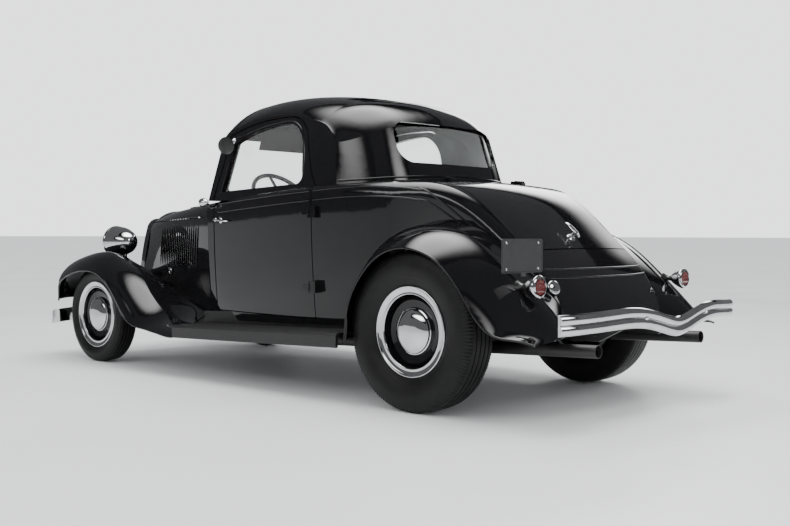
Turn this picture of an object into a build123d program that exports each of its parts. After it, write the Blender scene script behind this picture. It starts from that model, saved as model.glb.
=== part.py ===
from build123d import *
import os
from math import cos, radians, sin

os.makedirs("parts", exist_ok=True)

# Driving dimensions, in millimetres. Stations run forward from the rear axle,
# heights up from the ground, and half widths out from the centre plane.
WHEELBASE = 2845.0
REAR_AXLE_X = -1260.0
FRONT_HUB_Z = 312.0
REAR_HUB_Z = 385.0
FRONT_TRACK_HALF = 697.0
REAR_TRACK_HALF = 720.0
KINGPIN_Y = 605.0
WALL = 45.0
ROOF_WALL = 28.0
PANEL = 6.0
SHUT_GAP = 6.0
GLASS_INSET = 12.0
GLASS_THICK = 5.0
FIT = 0.05

SIDES = {"left": 1.0, "right": -1.0}


def at(station, y, z):
    """A point given by its station ahead of the rear axle."""
    return (REAR_AXLE_X + station, y, z)


def section_face(segments):
    """The plane face inside a closed run of lines (2 points) and arcs (3 points)."""
    with BuildLine() as outline:
        for segment in segments:
            if len(segment) == 3:
                ThreePointArc(*segment)
            else:
                Line(*segment)
    return Face(outline.wire())


def side_profile(segments):
    """A side-view outline, drawn in station and height, on the centre plane."""
    placed = [[at(x, 0.0, z) for x, z in segment] for segment in segments]
    return section_face(placed)


def polygon_profile(corners):
    """A side-view outline with straight edges only."""
    return side_profile(list(zip(corners, corners[1:] + corners[:1])))


def slab(profile, low_y, high_y):
    """A side-view outline given thickness between two half widths."""
    moved = profile.moved(Location((0, low_y, 0)))
    return Solid.extrude(moved, Vector(0, high_y - low_y, 0))


# Lower body. Each cross-section has a flat base, a bowed side, a round shoulder and a
# crowned top. The tail is swept about a pivot line, so its sections fan round from upright
# to level, and their heights are distances from the pivot.
TAIL_PIVOT = (300.0, 400.0)
# base_half, base_up, half_width, edge_up, round_in, round_down, crown
BODY_STATIONS = {
    1790.0: (585.0, 290.0, 628.0, 1030.0, 60.0, 50.0, 70.0),
    1300.0: (628.0, 300.0, 668.0, 1075.0, 45.0, 45.0, 30.0),
    815.0: (640.0, 320.0, 683.0, 1100.0, 45.0, 45.0, 30.0),
    500.0: (622.0, 330.0, 666.0, 1110.0, 60.0, 55.0, 28.0),
}
TAIL_ANGLES = {
    90.0: (585.0, 60.0, 634.0, 718.0, 90.0, 80.0, 22.0),
    108.0: (545.0, 60.0, 575.0, 735.0, 80.0, 75.0, 14.0),
    126.0: (500.0, 60.0, 525.0, 745.0, 68.0, 68.0, 14.0),
    144.0: (470.0, 60.0, 492.0, 768.0, 55.0, 62.0, 14.0),
    160.0: (455.0, 60.0, 478.0, 846.0, 50.0, 62.0, 16.0),
    170.0: (448.0, 60.0, 470.0, 905.0, 46.0, 60.0, 18.0),
    181.0: (440.0, 60.0, 462.0, 960.0, 42.0, 58.0, 20.0),
}
SHOULDER_BULGE = 0.29


def shoulder_section(place, row):
    """A body or hood cross-section; place turns a half width and a height into a point."""
    base_half, base_up, half, edge, round_in, round_down, crown = row
    base = (base_half, base_up)
    start = (half, edge - round_down)
    side = (half - 0.25 * (half - base_half), 0.5 * (base_up + start[1]))
    turn = (half - SHOULDER_BULGE * round_in, edge - SHOULDER_BULGE * round_down)
    end = (half - round_in, edge)
    top = (0.0, edge + crown)

    def left(point):
        return place(*point)

    def right(point):
        return place(-point[0], point[1])

    return section_face([
        (right(base), left(base)),
        (left(base), left(side), left(start)),
        (left(start), left(turn), left(end)),
        (left(end), left(top), right(end)),
        (right(end), right(turn), right(start)),
        (right(start), right(side), right(base)),
    ])


def inset_row(row, inset):
    """A cross-section row moved inside its wall, with its base dropped to open it."""
    base_half, base_up, half, edge, round_in, round_down, crown = row
    drop = 30.0 if inset else 0.0
    return (base_half - inset, base_up - drop, half - inset, edge - 0.8 * inset,
            round_in, round_down, crown)


def body_sections(inset):
    """Upright cross-sections of the lower body, from the cowl back to the tail pivot."""
    faces = []
    for index, (station, row) in enumerate(BODY_STATIONS.items()):
        x = station - (inset if index == 0 else 0.0)
        faces.append(shoulder_section(lambda y, z, x=x: at(x, y, z), inset_row(row, inset)))
    faces.append(tail_sections(inset)[0])
    return faces


def tail_sections(inset):
    """Cross-sections of the tail, fanned round the pivot from upright to level."""
    faces = []
    last = max(TAIL_ANGLES)
    for angle, row in TAIL_ANGLES.items():
        turn = radians(angle + (3.0 if inset and angle == last else 0.0))
        faces.append(shoulder_section(
            lambda y, r, turn=turn: at(
                TAIL_PIVOT[0] + r * cos(turn), y, TAIL_PIVOT[1] + r * sin(turn)),
            inset_row(row, inset)))
    return faces


# Roof and pillars. Each row is a side-view outline at one distance from the centre plane.
ROOF_BASE_Z = 1040.0
# glass base x, glass top, brow, roof front, roof top, roof rear, rear turn, back top, back base x
ROOF_ROWS = {
    0.0: (1800, (1690, 1450), (1622, 1565), (1480, 1640), (1150, 1652),
          (760, 1597), (570, 1540), (455, 1440), 306),
    260.0: (1798, (1692, 1448), (1628, 1557), (1482, 1625), (1150, 1638),
            (765, 1585), (578, 1528), (462, 1432), 318),
    430.0: (1790, (1697, 1440), (1642, 1530), (1500, 1590), (1150, 1606),
            (780, 1553), (605, 1495), (492, 1402), 362),
    520.0: (1782, (1700, 1420), (1655, 1485), (1530, 1534), (1150, 1564),
            (810, 1506), (670, 1446), (575, 1362), 440),
}
SIDE_ROW = (1768, (1690, 1385), (1662, 1430), (1560, 1462), (1150, 1512),
            (850, 1450), (775, 1412), (725, 1340), 655)
SIDE_BASE_HALF = 640.0
SIDE_LEAN = 0.148


def roof_section(row, half_at, inset):
    """One side-view roof outline, moved inside the wall by inset."""
    drop = 50.0 if inset > GLASS_INSET + GLASS_THICK else 0.0
    base_z = ROOF_BASE_Z - drop
    front_base, glass, brow, front, top, rear, turn, back, back_base = row

    def place(x, z):
        return at(x, half_at(z), z)

    def ahead(point):
        return place(point[0] - inset, point[1] - 0.6 * inset)

    def above(point):
        return place(point[0], point[1] - inset)

    def behind(point):
        return place(point[0] + inset, point[1] - 0.6 * inset)

    low_front = place(front_base - inset, base_z)
    low_back = place(back_base + inset, base_z)
    return section_face([
        (low_front, ahead(glass)),
        (ahead(glass), ahead(brow), above(front)),
        (above(front), above(top), above(rear)),
        (above(rear), behind(turn), behind(back)),
        (behind(back), low_back),
        (low_back, low_front),
    ])


def roof_sections(inset, side_inset):
    """Roof outlines from the right side wall across to the left."""
    def side_half(sign):
        return lambda z: sign * (SIDE_BASE_HALF - side_inset - SIDE_LEAN * (z - ROOF_BASE_Z))

    faces = [roof_section(SIDE_ROW, side_half(-1.0), inset)]
    halves = sorted(ROOF_ROWS)
    for y in [-half for half in reversed(halves) if half] + halves:
        faces.append(roof_section(ROOF_ROWS[abs(y)], lambda z, y=y: y, inset))
    faces.append(roof_section(SIDE_ROW, side_half(1.0), inset))
    return faces


with BuildPart() as body_form:
    loft(sections=body_sections(0.0))
    loft(sections=tail_sections(0.0))
with BuildPart() as body_hollow:
    loft(sections=body_sections(WALL))
    loft(sections=tail_sections(WALL))
with BuildPart() as roof_form:
    loft(sections=roof_sections(0.0, 0.0))
with BuildPart() as roof_hollow:
    loft(sections=roof_sections(ROOF_WALL, WALL))
with BuildPart() as glass_layer:
    loft(sections=roof_sections(GLASS_INSET, GLASS_INSET))
    loft(sections=roof_sections(GLASS_INSET + GLASS_THICK, GLASS_INSET + GLASS_THICK),
         mode=Mode.SUBTRACT)

# Sill plane: the body stands on the floor along a line that rises to the rear.
SILL_FRONT = (1800.0, 330.0)
SILL_REAR = (420.0, 374.0)
FLOOR_THICK = 22.0
FLOOR_HALF = 600.0


def sill_z(station):
    share = (SILL_FRONT[0] - station) / (SILL_FRONT[0] - SILL_REAR[0])
    return SILL_FRONT[1] + share * (SILL_REAR[1] - SILL_FRONT[1])


below_sill = polygon_profile([
    (1900.0, sill_z(1900.0)), (360.0, sill_z(360.0)), (360.0, 150.0), (1900.0, 150.0)])

# Door, window and lid outlines in side view.
DOOR_FRONT = 1717.0
DOOR_REAR = 815.0
DOOR_FOOT = 396.0
DOOR_HEAD = (1606.0, 1420.0)
DOOR_SWING_ROOM = 4.0
WINDOW_OUTLINE = [
    ((1645.0, 1092.0), (1572.0, 1372.0)),
    ((1572.0, 1372.0), (1350.0, 1436.0), (1110.0, 1460.0)),
    ((1110.0, 1460.0), (1012.0, 1415.0), (972.0, 1312.0)),
    ((972.0, 1312.0), (956.0, 1185.0)),
    ((956.0, 1185.0), (962.0, 1135.0), (1005.0, 1118.0)),
    ((1005.0, 1118.0), (1645.0, 1092.0)),
]
DOOR_REACH = (430.0, 800.0)
LID_TOP_ANGLE = 100.0
LID_FOOT_ANGLE = 152.5
LID_HALF = 440.0


def door_outline(ahead):
    """Door edges in side view, with the front edge moved ahead."""
    foot = (DOOR_FRONT + ahead, DOOR_FOOT)
    belt = (DOOR_FRONT + ahead, 1030.0)
    head = (DOOR_HEAD[0] + ahead, DOOR_HEAD[1])
    return [
        (foot, belt),
        (belt, head),
        (head, (1350.0, 1478.0), (1100.0, 1490.0)),
        ((1100.0, 1490.0), (985.0, 1452.0), (935.0, 1340.0)),
        ((935.0, 1340.0), (885.0, 1180.0)),
        ((885.0, 1180.0), (DOOR_REAR, 1060.0)),
        ((DOOR_REAR, 1060.0), (DOOR_REAR, DOOR_FOOT)),
        ((DOOR_REAR, DOOR_FOOT), foot),
    ]


def tail_point(angle, reach):
    return (TAIL_PIVOT[0] + reach * cos(radians(angle)),
            TAIL_PIVOT[1] + reach * sin(radians(angle)))


LID_MID_ANGLE = 0.5 * (LID_TOP_ANGLE + LID_FOOT_ANGLE)


def lid_wedge(gap):
    """Side-view wedge that cuts the deck lid, grown by gap on every edge."""
    corners = [tail_point(LID_TOP_ANGLE, 660.0), tail_point(LID_TOP_ANGLE, 820.0),
               tail_point(LID_MID_ANGLE, 900.0), tail_point(LID_FOOT_ANGLE, 920.0),
               tail_point(LID_FOOT_ANGLE, 690.0)]
    return slab(grown(polygon_profile(corners), gap), -LID_HALF - gap, LID_HALF + gap)


def grown(profile, gap):
    """A side-view face with its outline moved outward, or inward where gap is negative."""
    if not gap:
        return profile
    return Face(profile.outer_wire().offset_2d(gap, kind=Kind.INTERSECTION))


door_profile = side_profile(door_outline(0.0))
doorway_profile = grown(side_profile(door_outline(DOOR_SWING_ROOM)), SHUT_GAP)
window_profile = side_profile(WINDOW_OUTLINE)
# Windshield plane, leaning back with the pillars.
WINDSHIELD_FOOT = ROOF_ROWS[0.0][0]
WINDSHIELD_HEAD = ROOF_ROWS[0.0][1]
SHIELD_RUN = WINDSHIELD_FOOT - WINDSHIELD_HEAD[0]
SHIELD_RISE = WINDSHIELD_HEAD[1] - ROOF_BASE_Z
windshield_plane = Plane(
    origin=at(WINDSHIELD_FOOT, 0.0, ROOF_BASE_Z), x_dir=(0, 1, 0),
    z_dir=(SHIELD_RISE, 0, SHIELD_RUN))
WINDSHIELD_SIZE = (1040.0, 318.0)
WINDSHIELD_MID = 228.0
BACKLIGHT_SIZE = (816.0, 220.0)
BACKLIGHT_Z = 1333.0
BACKLIGHT_ROUND = 84.0
BACKLIGHT_SPAN = (300.0, 640.0)

with BuildPart() as windshield_cutter:
    with BuildSketch(windshield_plane):
        with Locations((0, WINDSHIELD_MID)):
            RectangleRounded(*WINDSHIELD_SIZE, 40.0)
    extrude(amount=90.0, both=True)

with BuildPart() as backlight_cutter:
    with BuildSketch(Plane.YZ.offset(REAR_AXLE_X + BACKLIGHT_SPAN[0])):
        with Locations((0, BACKLIGHT_Z)):
            RectangleRounded(*BACKLIGHT_SIZE, BACKLIGHT_ROUND)
    extrude(amount=BACKLIGHT_SPAN[1] - BACKLIGHT_SPAN[0])

AXLE_TUNNEL_R = 200.0

# Pin hinges: the fixed half holds the pin in two end knuckles, and the moving half turns on
# it between them. In a hinge's plane x runs along the moving leaf and y out of the panel.
PANEL_HINGE = {"pin": 5.0, "knuckle": 10.0, "half": 30.0, "middle": 13.0,
               "fixed_leaf": 52.0, "moving_leaf": 52.0, "sink": 44.0, "rise": 4.0}
HOOD_HINGE = {"pin": 3.0, "knuckle": 6.0, "half": 40.0, "middle": 18.0,
              "fixed_leaf": 16.0, "moving_leaf": 30.0, "sink": 12.0, "rise": -1.0}
LID_HINGE = {"pin": 3.0, "knuckle": 6.0, "half": 40.0, "middle": 18.0,
             "fixed_leaf": 30.0, "moving_leaf": 30.0, "sink": 20.0, "rise": -1.0}
HINGE_END_GAP = 1.0
HINGE_LEAF_GAP = 4.0
DOOR_HINGE_Z = (564.0, 961.0)
DOOR_HINGE_PLACE = (812.0, 698.0)
LID_HINGE_Y = (-300.0, 300.0)
LID_HINGE_ANGLE = 99.77
LID_HINGE_REACH = 747.0


def leaf_box(sizes, low_x, high_x, low_z, high_z):
    """A leaf plate in a hinge's own frame."""
    size = (high_x - low_x, sizes["sink"] + sizes["rise"], high_z - low_z)
    return Solid.make_box(*size, Plane((low_x, -sizes["sink"], low_z)))


def pin_cylinder(radius, low_z, high_z):
    return Solid.make_cylinder(radius, high_z - low_z, Plane((0, 0, low_z)))


def fixed_hinge(plane, sizes):
    """Pin, end knuckles and leaf that stay with the body."""
    half = sizes["half"]
    knuckle_end = sizes["middle"] + HINGE_END_GAP
    with BuildPart() as fixed:
        add(pin_cylinder(sizes["pin"], -half, half))
        add(leaf_box(sizes, -sizes["fixed_leaf"], -sizes["knuckle"] - HINGE_LEAF_GAP, -half, half))
        for low, high in ((-half, -knuckle_end), (knuckle_end, half)):
            add(pin_cylinder(sizes["knuckle"], low, high))
            add(leaf_box(sizes, -sizes["fixed_leaf"], 0.0, low, high))
    return fixed.part.moved(plane.location)


def moving_hinge(plane, sizes):
    """Middle knuckle and leaf that turn with a door, lid or hood top."""
    middle = sizes["middle"]
    with BuildPart() as moving:
        add(pin_cylinder(sizes["knuckle"], -middle, middle))
        add(leaf_box(sizes, 0.0, sizes["moving_leaf"], -middle, middle))
        add(pin_cylinder(sizes["pin"] + FIT, -middle, middle), mode=Mode.SUBTRACT)
    return moving.part.moved(plane.location)


door_hinges = {
    side: [Plane(origin=at(DOOR_HINGE_PLACE[0], sign * DOOR_HINGE_PLACE[1], z), x_dir=(1, 0, 0),
                 z_dir=(0, 0, sign)) for z in DOOR_HINGE_Z]
    for side, sign in SIDES.items()}
lid_turn = radians(LID_HINGE_ANGLE)
lid_hinges = [
    Plane(origin=at(TAIL_PIVOT[0] + LID_HINGE_REACH * cos(lid_turn), y,
                    TAIL_PIVOT[1] + LID_HINGE_REACH * sin(lid_turn)),
          x_dir=(-sin(lid_turn), 0, cos(lid_turn)), z_dir=(0, 1, 0)) for y in LID_HINGE_Y]

with BuildPart() as whole_shell:
    add(body_form.part)
    add(roof_form.part)
    add(body_hollow.part, mode=Mode.SUBTRACT)
    add(roof_hollow.part, mode=Mode.SUBTRACT)
    add(slab(below_sill, -900.0, 900.0), mode=Mode.SUBTRACT)
    add(windshield_cutter.part, mode=Mode.SUBTRACT)
    add(backlight_cutter.part, mode=Mode.SUBTRACT)
    with Locations(Location(at(0.0, 0.0, REAR_HUB_Z), (90, 0, 0))):
        Cylinder(AXLE_TUNNEL_R, 1400.0, mode=Mode.SUBTRACT)

with BuildPart() as body_shell:
    add(whole_shell.part)
    for sign in SIDES.values():
        add(slab(doorway_profile, sign * DOOR_REACH[0], sign * DOOR_REACH[1]), mode=Mode.SUBTRACT)
    add(lid_wedge(SHUT_GAP), mode=Mode.SUBTRACT)
    for plane in door_hinges["left"] + door_hinges["right"]:
        add(fixed_hinge(plane, PANEL_HINGE))
    for plane in lid_hinges:
        add(fixed_hinge(plane, LID_HINGE))
body_shell.part.label = "body_shell"
export_step(body_shell.part, "parts/body_shell.step")

with BuildPart() as deck_lid:
    add(whole_shell.part)
    add(lid_wedge(0.0), mode=Mode.INTERSECT)
    for plane in lid_hinges:
        add(moving_hinge(plane, LID_HINGE))
deck_lid.part.label = "deck_lid"
export_step(deck_lid.part, "parts/deck_lid.step")

for side, sign in SIDES.items():
    with BuildPart() as door:
        add(whole_shell.part)
        add(slab(door_profile, sign * DOOR_REACH[0], sign * DOOR_REACH[1]), mode=Mode.INTERSECT)
        add(slab(window_profile, sign * DOOR_REACH[0], sign * DOOR_REACH[1]), mode=Mode.SUBTRACT)
        for plane in door_hinges[side]:
            add(moving_hinge(plane, PANEL_HINGE))
    door.part.label = f"door_{side}"
    export_step(door.part, f"parts/door_{side}.step")

    with BuildPart() as door_glass:
        add(glass_layer.part)
        add(slab(window_profile, sign * DOOR_REACH[0], sign * DOOR_REACH[1]), mode=Mode.INTERSECT)
    door_glass.part.label = f"door_glass_{side}"
    export_step(door_glass.part, f"parts/door_glass_{side}.step")

with BuildPart() as windshield_pane:
    add(glass_layer.part)
    add(windshield_cutter.part, mode=Mode.INTERSECT)
windshield_pane.part.label = "windshield"
export_step(windshield_pane.part, "parts/windshield.step")

with BuildPart() as backlight_pane:
    add(glass_layer.part)
    add(backlight_cutter.part, mode=Mode.INTERSECT)
backlight_pane.part.label = "backlight"
export_step(backlight_pane.part, "parts/backlight.step")

# Hood: louvred sides fixed between cowl and grille shell, tops hinged beside a centre strip.
HOOD_REAR = 1790.0
HOOD_FRONT = 2945.0
HOOD_FRONT_Z = 945.0
GRILLE_LEAN = 0.26
# base_half, base_up, half_width, edge_up, round_in, round_down, crown
HOOD_ROWS = {
    HOOD_REAR: (600.0, 372.0, 628.0, 1030.0, 60.0, 50.0, 70.0),
    2400.0: (440.0, 466.0, 455.0, 992.0, 80.0, 62.0, 59.5),
    HOOD_FRONT: (262.0, 562.0, 250.0, 950.0, 90.0, 72.0, 58.0),
}
HOOD_SEAM = ((HOOD_REAR, 947.0), (HOOD_FRONT, 922.0))
HOOD_STRIP_HALF = 16.0
HOOD_NOSE_GAP = 14.0
HOOD_HINGE_STATIONS = (1900.0, 2760.0)
HOOD_HINGE_Y = HOOD_STRIP_HALF + SHUT_GAP / 2
HOOD_HINGE_LIFT = 8.0
HOOD_OVERRUN = 12.0


def hood_sections(inset):
    """Hood cross-sections; the front one leans with the grille."""
    faces = []
    for station, row in HOOD_ROWS.items():
        lean = GRILLE_LEAN if station == HOOD_FRONT else 0.0
        overrun = {HOOD_REAR: -HOOD_OVERRUN, HOOD_FRONT: HOOD_OVERRUN}.get(station, 0.0)
        x = station + (overrun if inset else 0.0)
        faces.append(shoulder_section(
            lambda y, z, x=x, lean=lean: at(x + lean * (HOOD_FRONT_Z - z), y, z),
            inset_row(row, inset)))
    return faces


def seam_z(station):
    (x0, z0), (x1, z1) = HOOD_SEAM
    return z0 + (z1 - z0) * (station - x0) / (x1 - x0)


def front_edge(z, back=0.0):
    """Station of the leaning joint between hood and grille shell at a height."""
    return HOOD_FRONT + GRILLE_LEAN * (HOOD_FRONT_Z - z) - back


def crown_z(station):
    """Top of a hood cross-section on the centre line."""
    return HOOD_ROWS[station][3] + HOOD_ROWS[station][6]


# The centre line of the hood is straight, and both tops turn on lines beside it.
hood_line = Vector(front_edge(crown_z(HOOD_FRONT)) - HOOD_REAR, 0.0,
                   crown_z(HOOD_FRONT) - crown_z(HOOD_REAR)).normalized()


def hood_line_z(station):
    return crown_z(HOOD_REAR) + (station - HOOD_REAR) * hood_line.Z / hood_line.X


hood_hinges = {
    side: [Plane(origin=at(station, sign * HOOD_HINGE_Y, hood_line_z(station) + HOOD_HINGE_LIFT),
                 x_dir=(0, sign, 0), z_dir=hood_line * sign) for station in HOOD_HINGE_STATIONS]
    for side, sign in SIDES.items()}

with BuildPart() as hood_form:
    loft(sections=hood_sections(0.0))
with BuildPart() as hood_skin:
    add(hood_form.part)
    loft(sections=hood_sections(PANEL), mode=Mode.SUBTRACT)

hood_top_outline = polygon_profile([
    (HOOD_REAR + SHUT_GAP, seam_z(HOOD_REAR) + SHUT_GAP / 2), (HOOD_REAR + SHUT_GAP, 1200.0),
    (front_edge(1200.0, HOOD_NOSE_GAP), 1200.0),
    (front_edge(HOOD_SEAM[1][1], HOOD_NOSE_GAP), HOOD_SEAM[1][1] + SHUT_GAP / 2)])
hood_side_outline = polygon_profile([
    (HOOD_REAR - 5.0, seam_z(HOOD_REAR) - SHUT_GAP / 2), (3100.0, seam_z(3100.0) - SHUT_GAP / 2),
    (3100.0, 340.0), (HOOD_REAR - 5.0, 340.0)])

LOUVRE_COUNT = 20
LOUVRE_FIRST = 1990.0
LOUVRE_PITCH = 36.0
LOUVRE_LOW = 640.0
LOUVRE_HIGH = 888.0
LOUVRE_LEAN = 56.0
LOUVRE_SLOT = 8.0

with BuildPart() as hood_strip:
    add(hood_skin.part)
    add(slab(polygon_profile([(1700.0, 980.0), (3000.0, 960.0), (3000.0, 1200.0), (1700.0, 1200.0)]),
             -HOOD_STRIP_HALF, HOOD_STRIP_HALF), mode=Mode.INTERSECT)
    for plane in hood_hinges["left"] + hood_hinges["right"]:
        add(fixed_hinge(plane, HOOD_HINGE))
hood_strip.part.label = "hood_strip"
export_step(hood_strip.part, "parts/hood_strip.step")

louvre_slots = [
    polygon_profile([(x, LOUVRE_LOW), (x + LOUVRE_SLOT, LOUVRE_LOW),
                     (x + LOUVRE_SLOT - LOUVRE_LEAN, LOUVRE_HIGH), (x - LOUVRE_LEAN, LOUVRE_HIGH)])
    for x in (LOUVRE_FIRST + index * LOUVRE_PITCH for index in range(LOUVRE_COUNT))]

for side, sign in SIDES.items():
    with BuildPart() as hood_top:
        add(hood_skin.part)
        add(slab(hood_top_outline, sign * (HOOD_STRIP_HALF + SHUT_GAP), sign * 700.0),
            mode=Mode.INTERSECT)
        for plane in hood_hinges[side]:
            add(moving_hinge(plane, HOOD_HINGE))
    hood_top.part.label = f"hood_top_{side}"
    export_step(hood_top.part, f"parts/hood_top_{side}.step")

    with BuildPart() as hood_side:
        add(hood_skin.part)
        add(slab(hood_side_outline, sign * 150.0, sign * 700.0), mode=Mode.INTERSECT)
        for slot in louvre_slots:
            add(slab(slot, sign * 200.0, sign * 600.0), mode=Mode.SUBTRACT)
    hood_side.part.label = f"hood_side_{side}"
    export_step(hood_side.part, f"parts/hood_side_{side}.step")

# Grille shell on the leaning front plane, with upright bars in its opening.
grille_plane = Plane(origin=at(HOOD_FRONT, 0.0, HOOD_FRONT_Z), x_dir=(0, 1, 0),
                     z_dir=(1.0, 0.0, GRILLE_LEAN))
GRILLE_DEPTH = 72.0
GRILLE_CENTRE_V = -230.0
GRILLE_OPENING = 0.84
GRILLE_NOSE = 0.93
# Right half outline from the crown down to the foot, as across and up on the leaning plane.
GRILLE_ARCS = [
    ((160.0, 5.0), (224.0, -14.0), (250.0, -69.0)),
    ((250.0, -69.0), (260.0, -215.0), (258.0, -360.0)),
    ((258.0, -360.0), (232.0, -460.0), (150.0, -530.0)),
]
GRILLE_CROWN = (0.0, 65.0)
GRILLE_FOOT = (0.0, -556.0)
BAR_COUNT = 19
BAR_WIDTH = 7.0
BAR_DEPTH = 18.0
BAR_START = 22.0


def grille_outline(scale):
    """The shell outline, scaled about the middle of the grille."""
    def put(point, flip=1.0):
        return (flip * point[0] * scale,
                GRILLE_CENTRE_V + (point[1] - GRILLE_CENTRE_V) * scale)

    with BuildLine() as outline:
        for flip in (1.0, -1.0):
            for arc in GRILLE_ARCS:
                ThreePointArc(*(put(point, flip) for point in arc))
        ends = (GRILLE_ARCS[0][0], GRILLE_ARCS[-1][-1])
        for end, middle in zip(ends, (GRILLE_CROWN, GRILLE_FOOT)):
            ThreePointArc(put(end), put(middle), put(end, -1.0))
    return outline.edges()


with BuildPart() as grille_hole:
    with BuildSketch(grille_plane):
        make_face(grille_outline(GRILLE_OPENING))
    extrude(amount=GRILLE_DEPTH)

with BuildPart() as grille_shell:
    with BuildSketch(grille_plane):
        make_face(grille_outline(1.0))
    with BuildSketch(grille_plane.offset(GRILLE_DEPTH)):
        make_face(grille_outline(GRILLE_NOSE))
    loft()
    add(grille_hole.part, mode=Mode.SUBTRACT)
grille_shell.part.label = "grille_shell"
export_step(grille_shell.part, "parts/grille_shell.step")

with BuildPart() as grille_bars:
    with BuildSketch(grille_plane.offset(BAR_START)):
        with GridLocations(2.0 * 258.0 * GRILLE_OPENING / (BAR_COUNT + 1), 0.0, BAR_COUNT, 1):
            with Locations((0.0, GRILLE_CENTRE_V)):
                Rectangle(BAR_WIDTH, 700.0)
        for v in (-120.0, -300.0, -440.0):
            with Locations((0.0, v)):
                Rectangle(520.0, BAR_WIDTH)
    extrude(amount=BAR_DEPTH)
    add(grille_hole.part, mode=Mode.INTERSECT)
grille_bars.part.label = "grille_bars"
export_step(grille_bars.part, "parts/grille_bars.step")

# Fenders. Each row gives one strip section: the outer lip, the crown, the knee where its
# round top ends, and the inner edge, which is brought into the plane of the other three. The
# front rows run past the running board's front end, where the fender is cut.
FENDER_THICK = 6.0
FRONT_FENDER_END = 1836.0
FRONT_FENDER_ROWS = [
    ((3275, 785, 385), (3400, 640, 395), (3390, 520, 397), (3350, 430, 400)),
    ((3238, 803, 470), (3380, 660, 510), (3370, 530, 505), (3330, 410, 490)),
    ((3185, 820, 520), (3290, 682, 602), (3276, 550, 590), (3240, 360, 560)),
    ((3085, 838, 556), (3140, 702, 666), (3130, 560, 642), (3100, 300, 585)),
    ((2930, 853, 594), (2920, 708, 713), (2918, 565, 682), (2915, 230, 572)),
    ((2770, 856, 603), (2770, 708, 719), (2770, 572, 690), (2770, 300, 546)),
    ((2620, 856, 571), (2620, 706, 669), (2620, 590, 640), (2620, 345, 520)),
    ((2470, 856, 440), (2470, 709, 598), (2470, 605, 585), (2470, 386, 498)),
    ((2320, 856, 304), (2320, 720, 480), (2320, 622, 484), (2320, 428, 472)),
    ((2170, 856, 270), (2170, 735, 360), (2170, 641, 380), (2170, 468, 440)),
    ((2010, 856, 250), (2010, 757, 306), (2010, 672, 320), (2010, 515, 405)),
    ((1836, 856, 236), (1836, 780, 298), (1836, 705, 308), (1836, 560, 380)),
    ((1660, 856, 224), (1660, 790, 294), (1660, 715, 302), (1660, 600, 356)),
]
REAR_FENDER_ROWS = [
    ((388, 856, 302), (472, 740, 318), (485, 640, 324), (491, 540, 328)),
    ((362, 858, 470), (440, 742, 500), (462, 640, 514), (474, 540, 520)),
    ((290, 860, 610), (362, 742, 660), (384, 640, 688), (396, 530, 704)),
    ((160, 862, 735), (205, 742, 812), (222, 630, 850), (232, 510, 872)),
    ((-20, 862, 783), (-25, 742, 860), (-22, 620, 892), (-20, 490, 908)),
    ((-190, 860, 742), (-215, 742, 812), (-208, 610, 846), (-200, 470, 866)),
    ((-325, 856, 630), (-375, 738, 712), (-368, 600, 746), (-352, 440, 766)),
    ((-440, 850, 470), (-520, 725, 590), (-514, 590, 630), (-484, 420, 652)),
    ((-560, 842, 394), (-650, 705, 480), (-636, 570, 524), (-572, 410, 556)),
    ((-735, 818, 374), (-752, 694, 386), (-732, 564, 402), (-650, 410, 424)),
]


def strip_section(row, sign):
    """A bent strip through a row's points, given thickness on its hollow side."""
    lip, crown, knee, edge = (Vector(*at(x, sign * y, z)) for x, y, z in row)
    a, b = lip - knee, crown - knee
    normal = a.cross(b)
    spread = 2.0 * normal.dot(normal)
    middle = knee + (b * a.dot(a) - a * b.dot(b)).cross(normal) * (1.0 / spread)
    radius = (lip - middle).length
    normal = normal.normalized()
    edge = edge - normal * normal.dot(edge - lip)
    share = (radius - FENDER_THICK) / radius
    under = [middle + (point - middle) * share for point in (lip, crown, knee)]
    inward = (edge - knee).cross(normal).normalized() * FENDER_THICK
    if inward.dot(under[2] - knee) < 0:
        inward = inward * -1.0
    return section_face([
        (lip, crown, knee), (knee, edge), (edge, edge + inward), (edge + inward, under[2]),
        (under[2], under[1], under[0]), (under[0], lip)])


fender_cut = slab(
    polygon_profile([(FRONT_FENDER_END - 300.0, 150.0), (FRONT_FENDER_END, 150.0),
                     (FRONT_FENDER_END, 500.0), (FRONT_FENDER_END - 300.0, 500.0)]), -900.0, 900.0)
fenders = {}
for place, rows in (("front", FRONT_FENDER_ROWS), ("rear", REAR_FENDER_ROWS)):
    for side, sign in SIDES.items():
        with BuildPart() as fender:
            loft(sections=[strip_section(row, sign) for row in rows])
            add(body_form.part, mode=Mode.SUBTRACT)
            if place == "front":
                add(fender_cut, mode=Mode.SUBTRACT)
                add(hood_form.part, mode=Mode.SUBTRACT)
                add(grille_shell.part, mode=Mode.SUBTRACT)
                add(grille_hole.part, mode=Mode.SUBTRACT)
        fender.part.label = f"{place}_fender_{side}"
        export_step(fender.part, f"parts/{place}_fender_{side}.step")
        fenders[place, side] = fender.part

# Floor: a plate under the sills, a riser behind the seat and a raised boot floor.
RISER = 430.0
BOOT_FLOOR_Z = 600.0
BOOT_FLOOR_END = -400.0
BOOT_HALF = 420.0

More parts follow.
